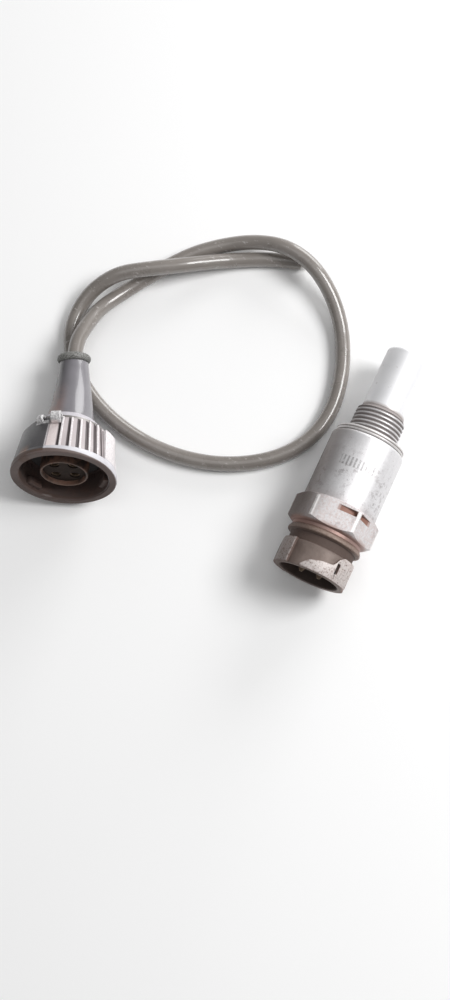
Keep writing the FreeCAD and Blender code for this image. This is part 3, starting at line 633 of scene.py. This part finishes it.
lug = swept_block("lug", (11.6, 13.05), (-15.55, -15.25), 0, LUG_SWEEP, LUG_STEPS)
for step in range(LUG_STEPS + 1):
    turn = LUG_SWEEP * step / LUG_STEPS

    def in_station(place, turn=turn):
        angle = math.degrees(math.atan2(place.y, place.x))
        return place.z > -15.4 and abs(angle - turn) < LUG_SWEEP / LUG_STEPS / 2

    shifted(lug, in_station, (0, 0, height_at(turn)))
fix_normals(lug)
pocket = block("pocket", (1.6, 1.1, 3.6), (13.0, 0, -11.2))
pocket.data.transform(Matrix.Rotation(math.radians(57), 4, "Z"))
carve(lug, pocket)
edge_rib = swept_block("edge_rib", (12.0, 13.25), (-15.4, -7.0), LUG_SWEEP - 3.2, 2.2, 2)
lug = joined([lug, edge_rib], "lug")
lug.data.transform(Matrix.Rotation(math.radians(LUG_START), 4, "Z"))
lugs = [lug, copied(lug, 120), copied(lug, 240)]
shell = joined([shell, *lugs], "connector_shell_body")
soften(shell, 0.12, 2, 50)
settle(shell, SENSOR_PLACE, "root")
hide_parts("connector_shell")

# %% [markdown]
# The coupling ring is a moulded cap with a stepped inside. Narrow ribs stand round it for grip, with
# a smooth shield on one side, two raised blocks, and a little eye through which a seal wire goes.
# The shell is turned, one rib is shaped and copied round, and the shield is a spun block that is
# pinched at its back so that it slopes with the cap.

# %% Coupling ring: the cap
outline = [(15.3, 0.7), (15.75, 0.0), (17.75, 0.0), (18.1, 0.25)]
outline += [(18.2, 0.7), (18.1, 2.0), (17.85, 2.75), (17.5, 2.95)]
outline += [(16.85, 3.05), (16.4, 6.0), (15.7, 10.5), (15.0, 15.2), (14.7, 15.65), (14.2, 15.8)]
outline += [(12.95, 15.8), (12.65, 15.5), (12.65, 12.1), (13.8, 12.1)]
outline += [(13.8, 9.6), (15.1, 9.6), (15.3, 9.3), (15.3, 4.0)]
cap = turned("cap", outline, steps=128)
smooth(cap, 35)

# %% Coupling ring: ribs, blocks and shield
RIB_SPACING = 11.25
rib = block("rib", (1.8, 0.95, 12.7), (16.85, 0, 8.85))
shifted(rib, lambda place: place.z > 10, (-1.7, 0, 0))
selected_where(rib, lambda place: place.x > (17.5 if place.z < 10 else 15.9))
bpy.ops.transform.resize(value=(1, 0.75, 1), center_override=(0, 0, 0))
bpy.ops.mesh.select_all(action="SELECT")
bpy.ops.mesh.bevel(offset=0.16 * MM, segments=2)
bpy.ops.object.mode_set(mode="OBJECT")
rib_angles = []
for number in range(32):
    angle = (-90 + RIB_SPACING * number + 180) % 360 - 180
    in_shield = -176 < angle < -97
    in_blocks = -38 < angle < -6 or 82 < angle < 114
    if not in_shield and not in_blocks:
        rib_angles.append(angle)
ring_parts = [cap] + [copied(rib, angle) for angle in rib_angles]
bpy.data.objects.remove(rib, do_unlink=True)
for start in (-34, 86):
    raised = swept_block("raised_block", (15.9, 17.95), (2.6, 14.6), start, 24, 8)
    shifted_back = 15.0 / 15.9
    selected_where(raised, lambda place: place.z > 10)
    bpy.ops.transform.resize(value=(shifted_back, shifted_back, 1), center_override=(0, 0, 0))
    bpy.ops.object.mode_set(mode="OBJECT")
    soften(raised, 0.3, 3, 50)
    ring_parts.append(raised)
shield = swept_block("shield", (16.1, 18.15), (0.9, 14.2), 188, 65, 24)
selected_where(shield, lambda place: place.z > 10)
bpy.ops.transform.resize(value=(0.873, 0.873, 1), center_override=(0, 0, 0))
bpy.ops.object.mode_set(mode="OBJECT")
soften(shield, 0.35, 3, 50)
ring_parts.append(shield)
print("ribs", len(rib_angles))

# %% Coupling ring: seal-wire eyes and the inside catches
for angle, radius, size in ((262, 16.6, 1.0), (242, 16.2, 0.72)):
    hole, wall, half = 0.95 * size, 2.05 * size, 1.7 * size
    outline = [(hole, -half), (wall - 0.25, -half), (wall, -half + 0.25)]
    outline += [(wall, half - 0.25), (wall - 0.25, half), (hole, half)]
    eye = turned("eye", outline, steps=36)
    lie = Matrix.Rotation(math.radians(angle), 4, "Z") @ Matrix.Translation((radius * MM, 0, 14.5 * MM))
    eye.data.transform(lie @ Matrix.Rotation(math.pi / 2, 4, "X"))
    smooth(eye, 35)
    ring_parts.append(eye)
for number in range(3):
    catch = swept_block("catch", (13.5, 15.6), (1.6, 4.2), 120 * number + 10, 24, 8)
    ring_parts.append(soften(catch, 0.25, 2, 50))
ring = joined(ring_parts, "coupling_ring_body")
settle(ring, PLUG_PLACE, "ring")
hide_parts("coupling_ring")

# %% [markdown]
# Inside the ring sits the plug: a tube round the contacts, a flange that the ring pulls on, a hub for
# the spring clip, and a thick lip where the boot begins. It is one turned outline again.

# %% Plug body
outline = [(7.4, 2.1), (7.6, 1.8), (8.1, 1.8), (8.3, 2.1)]
outline += [(8.3, 10.3), (13.1, 10.3), (13.3, 10.5), (13.3, 11.6)]
outline += [(13.1, 11.85), (12.35, 11.85), (12.35, 16.1), (11.5, 16.1)]
outline += [(11.5, 17.25), (12.35, 17.25), (12.35, 17.7)]
outline += [(12.1, 18.0), (10.6, 18.0), (10.4, 18.3), (10.4, 20.3), (10.1, 20.65), (9.3, 20.7), (6.2, 20.7)]
outline += [(6.2, 29.0), (5.6, 29.0), (5.6, 20.1), (7.4, 20.1)]
plug = turned("plug_shell", outline)
smooth(plug, 35)
settle(plug, PLUG_PLACE, "root")
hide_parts("plug_body")

# %% [markdown]
# The boot is soft moulded rubber. It is turned straight, through many close rings with a fillet at the
# foot. The cable under it lifts its thin end, so every ring past the foot is then slid and leaned
# along a gentle curve, and the rolled bead that closes it round the cable leans the same way.

# %% Cable boot and bead
BOOT_STRAIGHT = 24.0
BOOT_END = 45.2
BOOT_BEND = Vector((-0.79, -3.03, 0))


def boot_lean(height):
    """Where a ring of the boot goes at a height in mm, as a matrix from its flat place."""
    past = max(0.0, height - BOOT_STRAIGHT) / (BOOT_END - BOOT_STRAIGHT)
    way = BOOT_BEND * (2 * past / (BOOT_END - BOOT_STRAIGHT)) + Vector((0, 0, 1))
    centre = BOOT_BEND * past ** 2 + Vector((0, 0, height))
    lean = Vector((0, 0, 1)).rotation_difference(way.normalized()).to_matrix().to_4x4()
    return Matrix.Translation(centre * MM) @ lean @ Matrix.Translation((0, 0, -height * MM))


BOOT_SIDE = [(20.72, 8.75), (21.3, 8.72), (22.0, 8.5), (23.2, 8.25)]
BOOT_SIDE += [(25.0, 7.95), (27.5, 7.55), (30.0, 7.15)]
BOOT_SIDE += [(32.5, 6.75), (35.0, 6.35), (37.5, 6.0), (40.0, 5.65)]
BOOT_SIDE += [(42.5, 5.35), (44.6, 5.15), (45.1, 5.0), (45.2, 4.8)]
outline = [(6.25, 20.75)] + [(radius, height) for height, radius in BOOT_SIDE]
outline += [(3.0, 45.2), (3.0, 43.0), (3.0, 41.0), (4.6, 35.1), (6.25, 28.2)]
boot = turned("boot_body", outline)
for vertex in boot.data.vertices:
    vertex.co = boot_lean(vertex.co.z / MM) @ vertex.co
smooth(boot, 40)
settle(boot, PLUG_PLACE, "root")
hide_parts("cable_boot")

outline = []
for step in range(20):
    angle = 2 * math.pi * step / 20
    outline.append((4.45 + 1.5 * math.cos(angle), 1.45 + 1.42 * math.sin(angle)))
bead = turned("boot_bead", outline, steps=72)
bead.data.transform(boot_lean(BOOT_END) @ Matrix.Translation((0, 0, BOOT_END * MM)))
smooth(bead, 60)
settle(bead, PLUG_PLACE, "root")
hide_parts("boot_end_ring")

# %% [markdown]
# The sensor is plated steel that has been on a machine for years. Large clouds of pinkish brown lie
# over silver, fine dark specks sit in the pits, the roots of the thread and the wire pockets hold
# dirt, and corners are rubbed bright. Its left side, the hexagon most, is darkened with painted shade.
# All of it is placed in the sensor's own upright frame.

# %% Plated steel
steel = Finish("plated_steel_worn", roughness=0.4, metallic=0.5)
point = steel.upright(SENSOR_PLACE)
across, down, along = steel.axes(point)
radius = steel.radius(point)
clouds = steel.noise(point, 9, detail=5, seed=3.1)
fine = steel.noise(point, 0.9, detail=6, roughness=0.7, seed=8.0)
specks = steel.rise(steel.noise(point, 0.55, detail=3, roughness=0.6, seed=1.7), 0.62, 0.72)
turning_marks = steel.noise(point, 6, detail=3, stretch=(0.25, 0.25, 22), seed=4.0)
silver = steel.mix(fine, (0.60, 0.59, 0.60), (0.83, 0.82, 0.83))
on_hexagon = steel.rise(radius, 13.25, 13.5)
veins = steel.noise(point, 2.6, detail=8, roughness=0.78, seed=15.0)
corroded = steel.rise(veins, 0.50, 0.60) * steel.rise(clouds, 0.36, 0.56) * steel.rise(along, 31.0, 24.0)
stains_and_painted_shade = steel.mix(corroded * 0.65, silver, (0.36, 0.33, 0.335))
stains_and_painted_shade = steel.mix(on_hexagon * steel.rise(fine, 0.38, 0.6) * 0.6, stains_and_painted_shade, (0.56, 0.455, 0.43))
# painted shade: the sensor's left side, the hexagon most, is darkened as if lit from the right
painted_shade_west = steel.rise(across + clouds * 4.0, -1.0, -10.5)
stains_and_painted_shade = steel.mix(painted_shade_west * (0.8 + on_hexagon * 0.15), stains_and_painted_shade, (0.125, 0.098, 0.088))
near_hexagon = steel.rise(along + clouds * 5.0, 16.0, 11.5) * steel.rise(radius, 13.5, 13.3)
stains_and_painted_shade = steel.mix(near_hexagon * 0.45, stains_and_painted_shade, (0.40, 0.345, 0.335))
specks_stains_and_shade = steel.mix(specks * 0.55, stains_and_painted_shade, (0.24, 0.19, 0.17))
in_thread = steel.rise(along, 37.4, 37.9) * steel.rise(radius, 8.92, 8.55)
corner_depth = across * 0.5 - down * 0.866
in_pocket = steel.rise(corner_depth, 15.3, 14.9) * steel.rise(corner_depth, 11.4, 11.9)
in_pocket = in_pocket * steel.between(along, 6.9, 8.8, 0.12)
turned_to = steel.angle(point)
strokes = steel.rise((turned_to * (2 * math.pi / 6.0)).wave(), -0.1, 0.35) * steel.between(along, 22.2, 25.6, 0.15)
strokes = strokes * steel.between(turned_to, -118, -62, 0.6) * steel.rise(fine, 0.36, 0.5)
rubbed = steel.rise(radius, 15.05, 15.4) * steel.rise(fine, 0.3, 0.5)
neck_dirt = steel.rise(along, 2.2, 0.0) * steel.rise(radius, 14.6, 13.4)
grime_and_painted_shade = steel.mix(in_thread * 0.8, specks_stains_and_shade, (0.25, 0.215, 0.205))
grime_and_painted_shade = steel.mix((in_pocket + neck_dirt * 0.75).more_of(0.0), grime_and_painted_shade, (0.26, 0.125, 0.09))
grime_and_painted_shade = steel.mix(strokes * 0.6, grime_and_painted_shade, (0.20, 0.19, 0.19))
color = steel.mix(rubbed * 0.8, grime_and_painted_shade, (0.86, 0.84, 0.83))
roughness = 0.34 + clouds * 0.2 + fine * 0.12 + in_thread * 0.3
surface = steel.dents(fine * 0.6 + turning_marks * 0.4 - specks * 0.6, 0.05, 0.7)
steel_material = steel.finish(color, roughness, 0.62 - in_thread * 0.3 - in_pocket * 0.5, surface)
dress(housing, steel_material)
print("steel nodes", len(steel.tree.nodes))

# %% [markdown]
# The probe has been wiped by the flow, so it is the brightest metal here: satin, nearly white, with
# faint rings left by drawing and a few grey water spots. The gasket is duller, with dirt in its fold.

# %% Probe and gasket
bright = Finish("bright_probe_satin", roughness=0.34, metallic=0.45)
point = bright.upright(SENSOR_PLACE)
across, down, along = bright.axes(point)
clouds = bright.noise(point, 7, detail=5, seed=11.0)
fine = bright.noise(point, 0.7, detail=6, roughness=0.7, seed=2.0)
drawn = bright.noise(point, 8, detail=3, stretch=(3.0, 3.0, 0.2), seed=6.0)
spots = bright.rise(bright.noise(point, 1.6, detail=2, seed=5.3), 0.66, 0.74)
color = bright.mix(clouds, (0.80, 0.80, 0.82), (0.93, 0.93, 0.94))
color = bright.mix(spots * 0.35, color, (0.55, 0.53, 0.52))
foot = bright.rise(along, 49.2, 47.8)
color = bright.mix(foot * 0.8, color, (0.34, 0.29, 0.27))
surface = bright.dents(fine * 0.4 + drawn * 0.6, 0.03, 0.5)
probe_material = bright.finish(color, 0.36 + clouds * 0.12 + drawn * 0.1 + spots * 0.2, 0.5 - foot * 0.3, surface)
dress(probe, probe_material)

washer = Finish("gasket_steel_dull", roughness=0.45, metallic=0.5)
point = washer.upright(SENSOR_PLACE)
across, down, along = washer.axes(point)
clouds = washer.noise(point, 4, detail=5, seed=21.0)
fine = washer.noise(point, 0.6, detail=6, roughness=0.7, seed=12.0)
fold = washer.between(along, 36.2, 36.6, 0.12) + washer.rise(along, 35.7, 35.35)
color = washer.mix(clouds, (0.60, 0.58, 0.58), (0.80, 0.78, 0.77))
color = washer.mix(washer.rise(fine, 0.56, 0.7) * 0.6, color, (0.40, 0.33, 0.30))
color = washer.mix(fold * 0.85, color, (0.13, 0.10, 0.09))
surface = washer.dents(fine, 0.05, 0.6)
gasket_material = washer.finish(color, 0.36 + clouds * 0.25, 0.55 - fold * 0.4, surface)
dress(gasket, gasket_material)
print("probe and gasket nodes", len(bright.tree.nodes), len(washer.tree.nodes))

# %% [markdown]
# The connector shell looks different on every level. The recess between the ramps is smooth brown
# grey, the ramps are rubbed and speckled pink, the flange is rusty, and the groove and the pockets
# hold almost black dirt. So its colour follows the distance from the axis first.

# %% Connector shell
aged = Finish("aged_shell_stained", roughness=0.55, metallic=0.25)
point = aged.upright(SENSOR_PLACE)
across, down, along = aged.axes(point)
radius = aged.radius(point)
turned_to = aged.angle(point)
clouds = aged.noise(point, 5, detail=5, seed=31.0)
fine = aged.noise(point, 0.8, detail=6, roughness=0.72, seed=14.0)
grains = aged.rise(aged.noise(point, 0.45, detail=3, seed=9.0), 0.52, 0.68)
recess = aged.mix(clouds, (0.11, 0.078, 0.065), (0.27, 0.215, 0.19))
raised = aged.mix(grains, (0.16, 0.105, 0.09), (0.42, 0.335, 0.31))
raised = aged.mix(aged.rise(clouds, 0.45, 0.62) * 0.55, raised, (0.21, 0.115, 0.09))
color = aged.mix(aged.rise(radius, 12.3, 12.75), recess, raised)
worn_edge = aged.rise(radius, 12.96, 13.06) * aged.rise(fine, 0.34, 0.52)
color = aged.mix(worn_edge * 0.6, color, (0.82, 0.78, 0.76))
flange = aged.rise(along, -3.5, -3.1)
color = aged.mix(flange * 0.9, color, aged.mix(fine, (0.12, 0.07, 0.05), (0.30, 0.22, 0.18)))
dirt = aged.between(along, -6.75, -3.35, 0.12) * aged.rise(radius, 12.1, 11.8)
dirt = dirt.more_of(aged.rise(radius, 11.0, 10.5) * aged.rise(along, -14.9, -15.4))
dirt = dirt.more_of(aged.between(turned_to, -54.2, -48.0, 0.5) * aged.between(along, -12.6, -9.6, 0.2) * 0.8)
color = aged.mix(dirt * 0.9, color, (0.085, 0.055, 0.045))
color = aged.mix(aged.rise(radius, 10.9, 10.5) * 0.9, color, (0.05, 0.033, 0.027))
# painted shade: the shell's left side is darkened as if lit from the right
painted_shade_west = aged.rise(across + clouds * 3.0, -2.0, -10.0)
color = aged.mix(painted_shade_west * 0.6, color, (0.085, 0.052, 0.04))
surface = aged.dents(fine * 0.7 + grains * 0.5, 0.09, 0.8)
shell_material = aged.finish(color, 0.42 + fine * 0.25 + dirt * 0.2, 0.3 - dirt * 0.25, surface)
dress(shell, shell_material)
print("shell nodes", len(aged.tree.nodes))

# %% [markdown]
# The coupling ring is grey moulded plastic that hands have polished. The tops of the ribs are pale and
# the gaps between them darker, so the colour is taken from how far a point stands above the cap's
# slope, and a painted shadow runs along one side of each rib. The shield is a darker grey, taken
# further down with painted shade, with one brown stain, and the inside has gone reddish brown. The
# face towards the mouth is dark brown, painted shade widens it on the left, and more painted shade
# darkens the underside.

# %% Coupling ring
grey = Finish("ring_plastic_worn", roughness=0.45, coat=0.1)
point = grey.upright(PLUG_PLACE)
across, down, along = grey.axes(point)
radius = grey.radius(point)
turned_to = grey.angle(point)
clouds = grey.noise(point, 6, detail=5, seed=41.0)
fine = grey.noise(point, 0.7, detail=6, roughness=0.7, seed=24.0)
above = radius + along * 0.152 - 17.31
ribs = grey.rise(above, 0.25, 0.75)
gap = grey.mix(clouds, (0.36, 0.32, 0.325), (0.58, 0.53, 0.535))
# painted shadow: a dark line along one side of each rib
painted_shadow_beside_ribs = ((turned_to + 93.1) * (2 * math.pi / RIB_SPACING) + math.pi / 2).wave()
gap = grey.mix(grey.rise(painted_shadow_beside_ribs, 0.45, 0.8), gap, (0.075, 0.06, 0.062))
pale = grey.mix(grey.rise(fine, 0.3, 0.7), (0.60, 0.565, 0.575), (0.84, 0.80, 0.80))
color = grey.mix(ribs, gap, pale)
strip = grey.between(turned_to, -106.5, -95.5, 0.5)
color = grey.mix(strip, color, grey.mix(fine, (0.58, 0.48, 0.47), (0.86, 0.80, 0.79)))
rim = grey.rise(along, 3.2, 2.8)
color = grey.mix(rim, color, grey.mix(clouds, (0.44, 0.43, 0.46), (0.74, 0.73, 0.76)))
shield_zone = grey.rise(turned_to, -173, -171) * grey.rise(turned_to, -106, -108) * grey.rise(along, 0.6, 1.0)
# the shield's own darker grey, taken further down as painted shade, since it faces left, away from the light
shield_grey_and_painted_shade = grey.mix(clouds, (0.042, 0.040, 0.043), (0.105, 0.10, 0.105))
color = grey.mix(shield_zone, color, shield_grey_and_painted_shade)
stain = grey.between(turned_to, -142, -128, 4) * grey.rise(along, 5.5, 2.5) * grey.rise(fine, 0.3, 0.5)
color = grey.mix(stain * 0.8, color, (0.24, 0.13, 0.08))
eyes = grey.rise(along, 12.5, 12.9) * grey.rise(radius, 15.5, 15.9) * grey.between(turned_to, -125, -90, 1.0)
color = grey.mix(eyes, color, grey.mix(grey.rise(fine, 0.3, 0.7), (0.26, 0.25, 0.255), (0.78, 0.77, 0.77)))
inside = grey.rise(radius, 15.42, 15.3) * grey.rise(along, 12.3, 12.0)
inner = grey.mix(grey.rise(clouds, 0.42, 0.66), (0.016, 0.010, 0.008), (0.13, 0.052, 0.030))
color = grey.mix(inside, color, inner)
# dark brown face towards the mouth; painted shade widens it towards the left
front_dark_and_painted_shade = grey.rise(along + across * 0.065 + clouds * 0.5, 1.75, 1.4)
color = grey.mix(front_dark_and_painted_shade * 0.92, color, grey.mix(fine, (0.045, 0.028, 0.023), (0.13, 0.075, 0.055)))
# painted shade: the ring's underside, towards the table, is darkened
painted_shade_underside = grey.rise(down + clouds * 6.0, 0.0, 8.0)
color = grey.mix(painted_shade_underside * 0.8, color, (0.075, 0.05, 0.043))
surface = grey.dents(fine * 0.7 + clouds * 0.3, 0.06, 0.6)
ring_material = grey.finish(color, 0.3 + fine * 0.2 + (1.0 - ribs) * 0.15 + (inside + front_dark_and_painted_shade) * 0.25, 0.0, surface)
dress(ring, ring_material)
print("ring nodes", len(grey.tree.nodes))

# %% [markdown]
# The plug, the boot, the bead and the cable are plastics and rubbers. Rubber is told from plastic by a
# soft, wide highlight, so its roughness is higher and its bumps are finer. The boot has pinkish brown
# stains on one side and painted shade on its left, and the cable has small pale scuffs along its length.

# %% Plug body, boot and bead
brown = Finish("plug_plastic_brown", roughness=0.6, specular=0.3)
point = brown.upright(PLUG_PLACE)
across, down, along = brown.axes(point)
radius = brown.radius(point)
clouds = brown.noise(point, 3.5, detail=5, seed=51.0)
fine = brown.noise(point, 0.5, detail=6, roughness=0.7, seed=34.0)
color = brown.mix(brown.rise(clouds, 0.35, 0.65), (0.030, 0.020, 0.016), (0.15, 0.078, 0.052))
lip = brown.rise(along, 2.5, 1.95)
color = brown.mix(lip * 0.6 * brown.rise(fine, 0.3, 0.6), color, (0.12, 0.075, 0.056))
collar = brown.rise(along, 17.2, 17.8)
color = brown.mix(collar, color, brown.mix(fine, (0.42, 0.40, 0.43), (0.66, 0.64, 0.67)))
color = brown.mix(brown.rise(fine, 0.60, 0.72) * 0.4, color, (0.22, 0.15, 0.12))
surface = brown.dents(fine, 0.06, 0.6)
plug_material = brown.finish(color, 0.5 + clouds * 0.2 - lip * 0.1, 0.0, surface)
dress(plug, plug_material)

rubber = Finish("boot_rubber_satin", roughness=0.36, coat=0.6, specular=0.7)
point = rubber.upright(PLUG_PLACE)
across, down, along = rubber.axes(point)
clouds = rubber.noise(point, 8, detail=4, seed=61.0)
fine = rubber.noise(point, 0.45, detail=6, roughness=0.65, seed=44.0)
color = rubber.mix(clouds, (0.13, 0.124, 0.136), (0.25, 0.24, 0.26))
# painted shade: the boot's left side is darkened as if lit from the right
painted_shade_left = rubber.rise(across + clouds * 3.0, 1.5, -4.5)
color = rubber.mix(painted_shade_left * 0.75, color, (0.045, 0.042, 0.046))
stains = rubber.rise(across, 0.0, -5.0) * rubber.rise(along, 38.0, 27.0) * rubber.rise(clouds + fine * 0.4, 0.5, 0.8)
color = rubber.mix(stains * 0.6, color, (0.27, 0.15, 0.12))
foot = rubber.rise(along, 22.2, 21.2)
color = rubber.mix(foot * 0.6, color, (0.19, 0.17, 0.19))
surface = rubber.dents(fine, 0.03, 0.5)
boot_material = rubber.finish(color, 0.27 + clouds * 0.16 + stains * 0.15, 0.0, surface)
dress(boot, boot_material)

rolled = Finish("bead_rubber_dark", roughness=0.5)
point = rolled.upright(PLUG_PLACE)
across, down, along = rolled.axes(point)
clouds = rolled.noise(point, 2.5, detail=5, seed=71.0)
fine = rolled.noise(point, 0.35, detail=6, roughness=0.7, seed=54.0)
color = rolled.mix(clouds, (0.03, 0.032, 0.028), (0.09, 0.093, 0.08))
color = rolled.mix(rolled.rise(down, -2.0, -7.0) * rolled.rise(fine, 0.4, 0.6) * 0.6, color, (0.45, 0.44, 0.43))
bead_material = rolled.finish(color, 0.38 + clouds * 0.25, 0.0, rolled.dents(fine, 0.04, 0.7))
dress(bead, bead_material)
print("plug, boot and bead nodes", len(brown.tree.nodes), len(rubber.tree.nodes), len(rolled.tree.nodes))

# %% Cable jacket
jacket = Finish("cable_jacket_taupe", roughness=0.26, coat=0.6, specular=0.6)
point = jacket.node("ShaderNodeVectorMath", {"operation": "SCALE"}, {0: jacket.place, "Scale": 1 / MM})
across, far, height = jacket.axes(point)
clouds = jacket.noise(point, 14, detail=4, seed=81.0)
fine = jacket.noise(point, 0.8, detail=6, roughness=0.65, seed=64.0)
scuffs = jacket.rise(jacket.noise(point, 1.8, detail=4, roughness=0.7, stretch=(0.7, 1.6, 1.0), seed=7.0), 0.60, 0.70)
color = jacket.mix(clouds, (0.155, 0.136, 0.122), (0.28, 0.255, 0.235))
color = jacket.mix(scuffs * 0.55, color, (0.60, 0.57, 0.55))
color = jacket.mix(jacket.rise(fine, 0.62, 0.74) * 0.4, color, (0.13, 0.11, 0.10))
jacket_material = jacket.finish(color, 0.22 + clouds * 0.12 + scuffs * 0.3, 0.0, jacket.dents(fine, 0.03, 0.5))
dress(cable, jacket_material)
print("jacket nodes", len(jacket.tree.nodes))

# %% [markdown]
# The pieces inside the barrel and the plug keep their CAD solids. They are seen only through the two
# mouths or in a section, but each kind still gets its own finish: two tones in clouds, specks of dirt,
# and a roughness and a grain that go with them.

# %% Finishes for the inner pieces


def mottled(name, dark, light, dirt, roughness, metallic, lump, grain, seed):
    """Two tones in clouds, with specks of dirt, in the row frame."""
    made = Finish(name, roughness, metallic, specular=0.2)
    point = made.node("ShaderNodeVectorMath", {"operation": "SCALE"}, {0: made.place, "Scale": 1 / MM})
    clouds = made.noise(point, lump, detail=5, seed=seed)
    fine = made.noise(point, grain, detail=6, roughness=0.7, seed=seed + 3)
    specks = made.rise(fine, 0.56, 0.70)
    color = made.mix(specks * 0.7, made.mix(clouds, dark, light), dirt)
    shine = metallic - specks * (metallic * 0.6)
    return made.finish(color, roughness + clouds * 0.15 + specks * 0.2, shine, made.dents(fine, 0.04, 0.6))


INNER = {
    "insert_plastic": ((0.014, 0.010, 0.008), (0.045, 0.030, 0.024), (0.08, 0.045, 0.034), 0.75, 0.0, 4, 0.6, 101),
    "potting_resin": ((0.03, 0.03, 0.03), (0.06, 0.055, 0.05), (0.12, 0.11, 0.10), 0.25, 0.0, 5, 0.8, 102),
    "seal_rubber": ((0.03, 0.028, 0.028), (0.07, 0.065, 0.065), (0.13, 0.11, 0.10), 0.6, 0.0, 3, 0.4, 103),
    "contact_brass": ((0.10, 0.07, 0.05), (0.22, 0.16, 0.11), (0.05, 0.035, 0.03), 0.45, 0.5, 1.5, 0.3, 104),
    "board_laminate": ((0.02, 0.12, 0.06), (0.05, 0.22, 0.11), (0.30, 0.28, 0.14), 0.4, 0.0, 3, 0.5, 105),
    "component_plastic": ((0.03, 0.03, 0.03), (0.08, 0.08, 0.085), (0.22, 0.21, 0.20), 0.45, 0.0, 2, 0.3, 106),
    "lead_wire": ((0.50, 0.49, 0.48), (0.72, 0.71, 0.70), (0.30, 0.27, 0.24), 0.3, 0.85, 1.5, 0.3, 107),
    "magnet_metal": ((0.30, 0.30, 0.31), (0.48, 0.48, 0.49), (0.20, 0.17, 0.15), 0.35, 0.8, 2, 0.4, 108),
    "spring_steel": ((0.22, 0.21, 0.20), (0.40, 0.38, 0.37), (0.26, 0.15, 0.10), 0.35, 0.8, 2.5, 0.4, 109),
    "core_insulation": ((0.55, 0.53, 0.50), (0.74, 0.72, 0.68), (0.36, 0.31, 0.27), 0.45, 0.0, 2, 0.3, 110),
}
inner_materials = {name: mottled(name + "_inner", *values) for name, values in INNER.items()}
KINDS = {
    "insert_plastic": ("pin_insert", "socket_insert", "chip_holder"),
    "potting_resin": ("potting_disc",),
    "seal_rubber": ("interface_seal", "shell_o_ring", "plug_seal", "wire_grommet"),
    "contact_brass": ("contact_pins", "socket_contacts"),
    "board_laminate": ("circuit_board",),
    "component_plastic": ("board_parts", "sensing_chip"),
    "lead_wire": ("pin_leads", "chip_leads"),
    "magnet_metal": ("bias_magnet",),
    "spring_steel": ("ring_clip",),
    "core_insulation": ("cable_cores", "cable_end_cores"),
}
for kind, names in KINDS.items():
    for name in names:
        for slot in frame["nodes"][name].material_slots:
            slot.material = inner_materials[kind]
print("inner pieces with a finish:", sum(len(names) for names in KINDS.values()))

# %% Update the scene
bpy.context.view_layer.update()
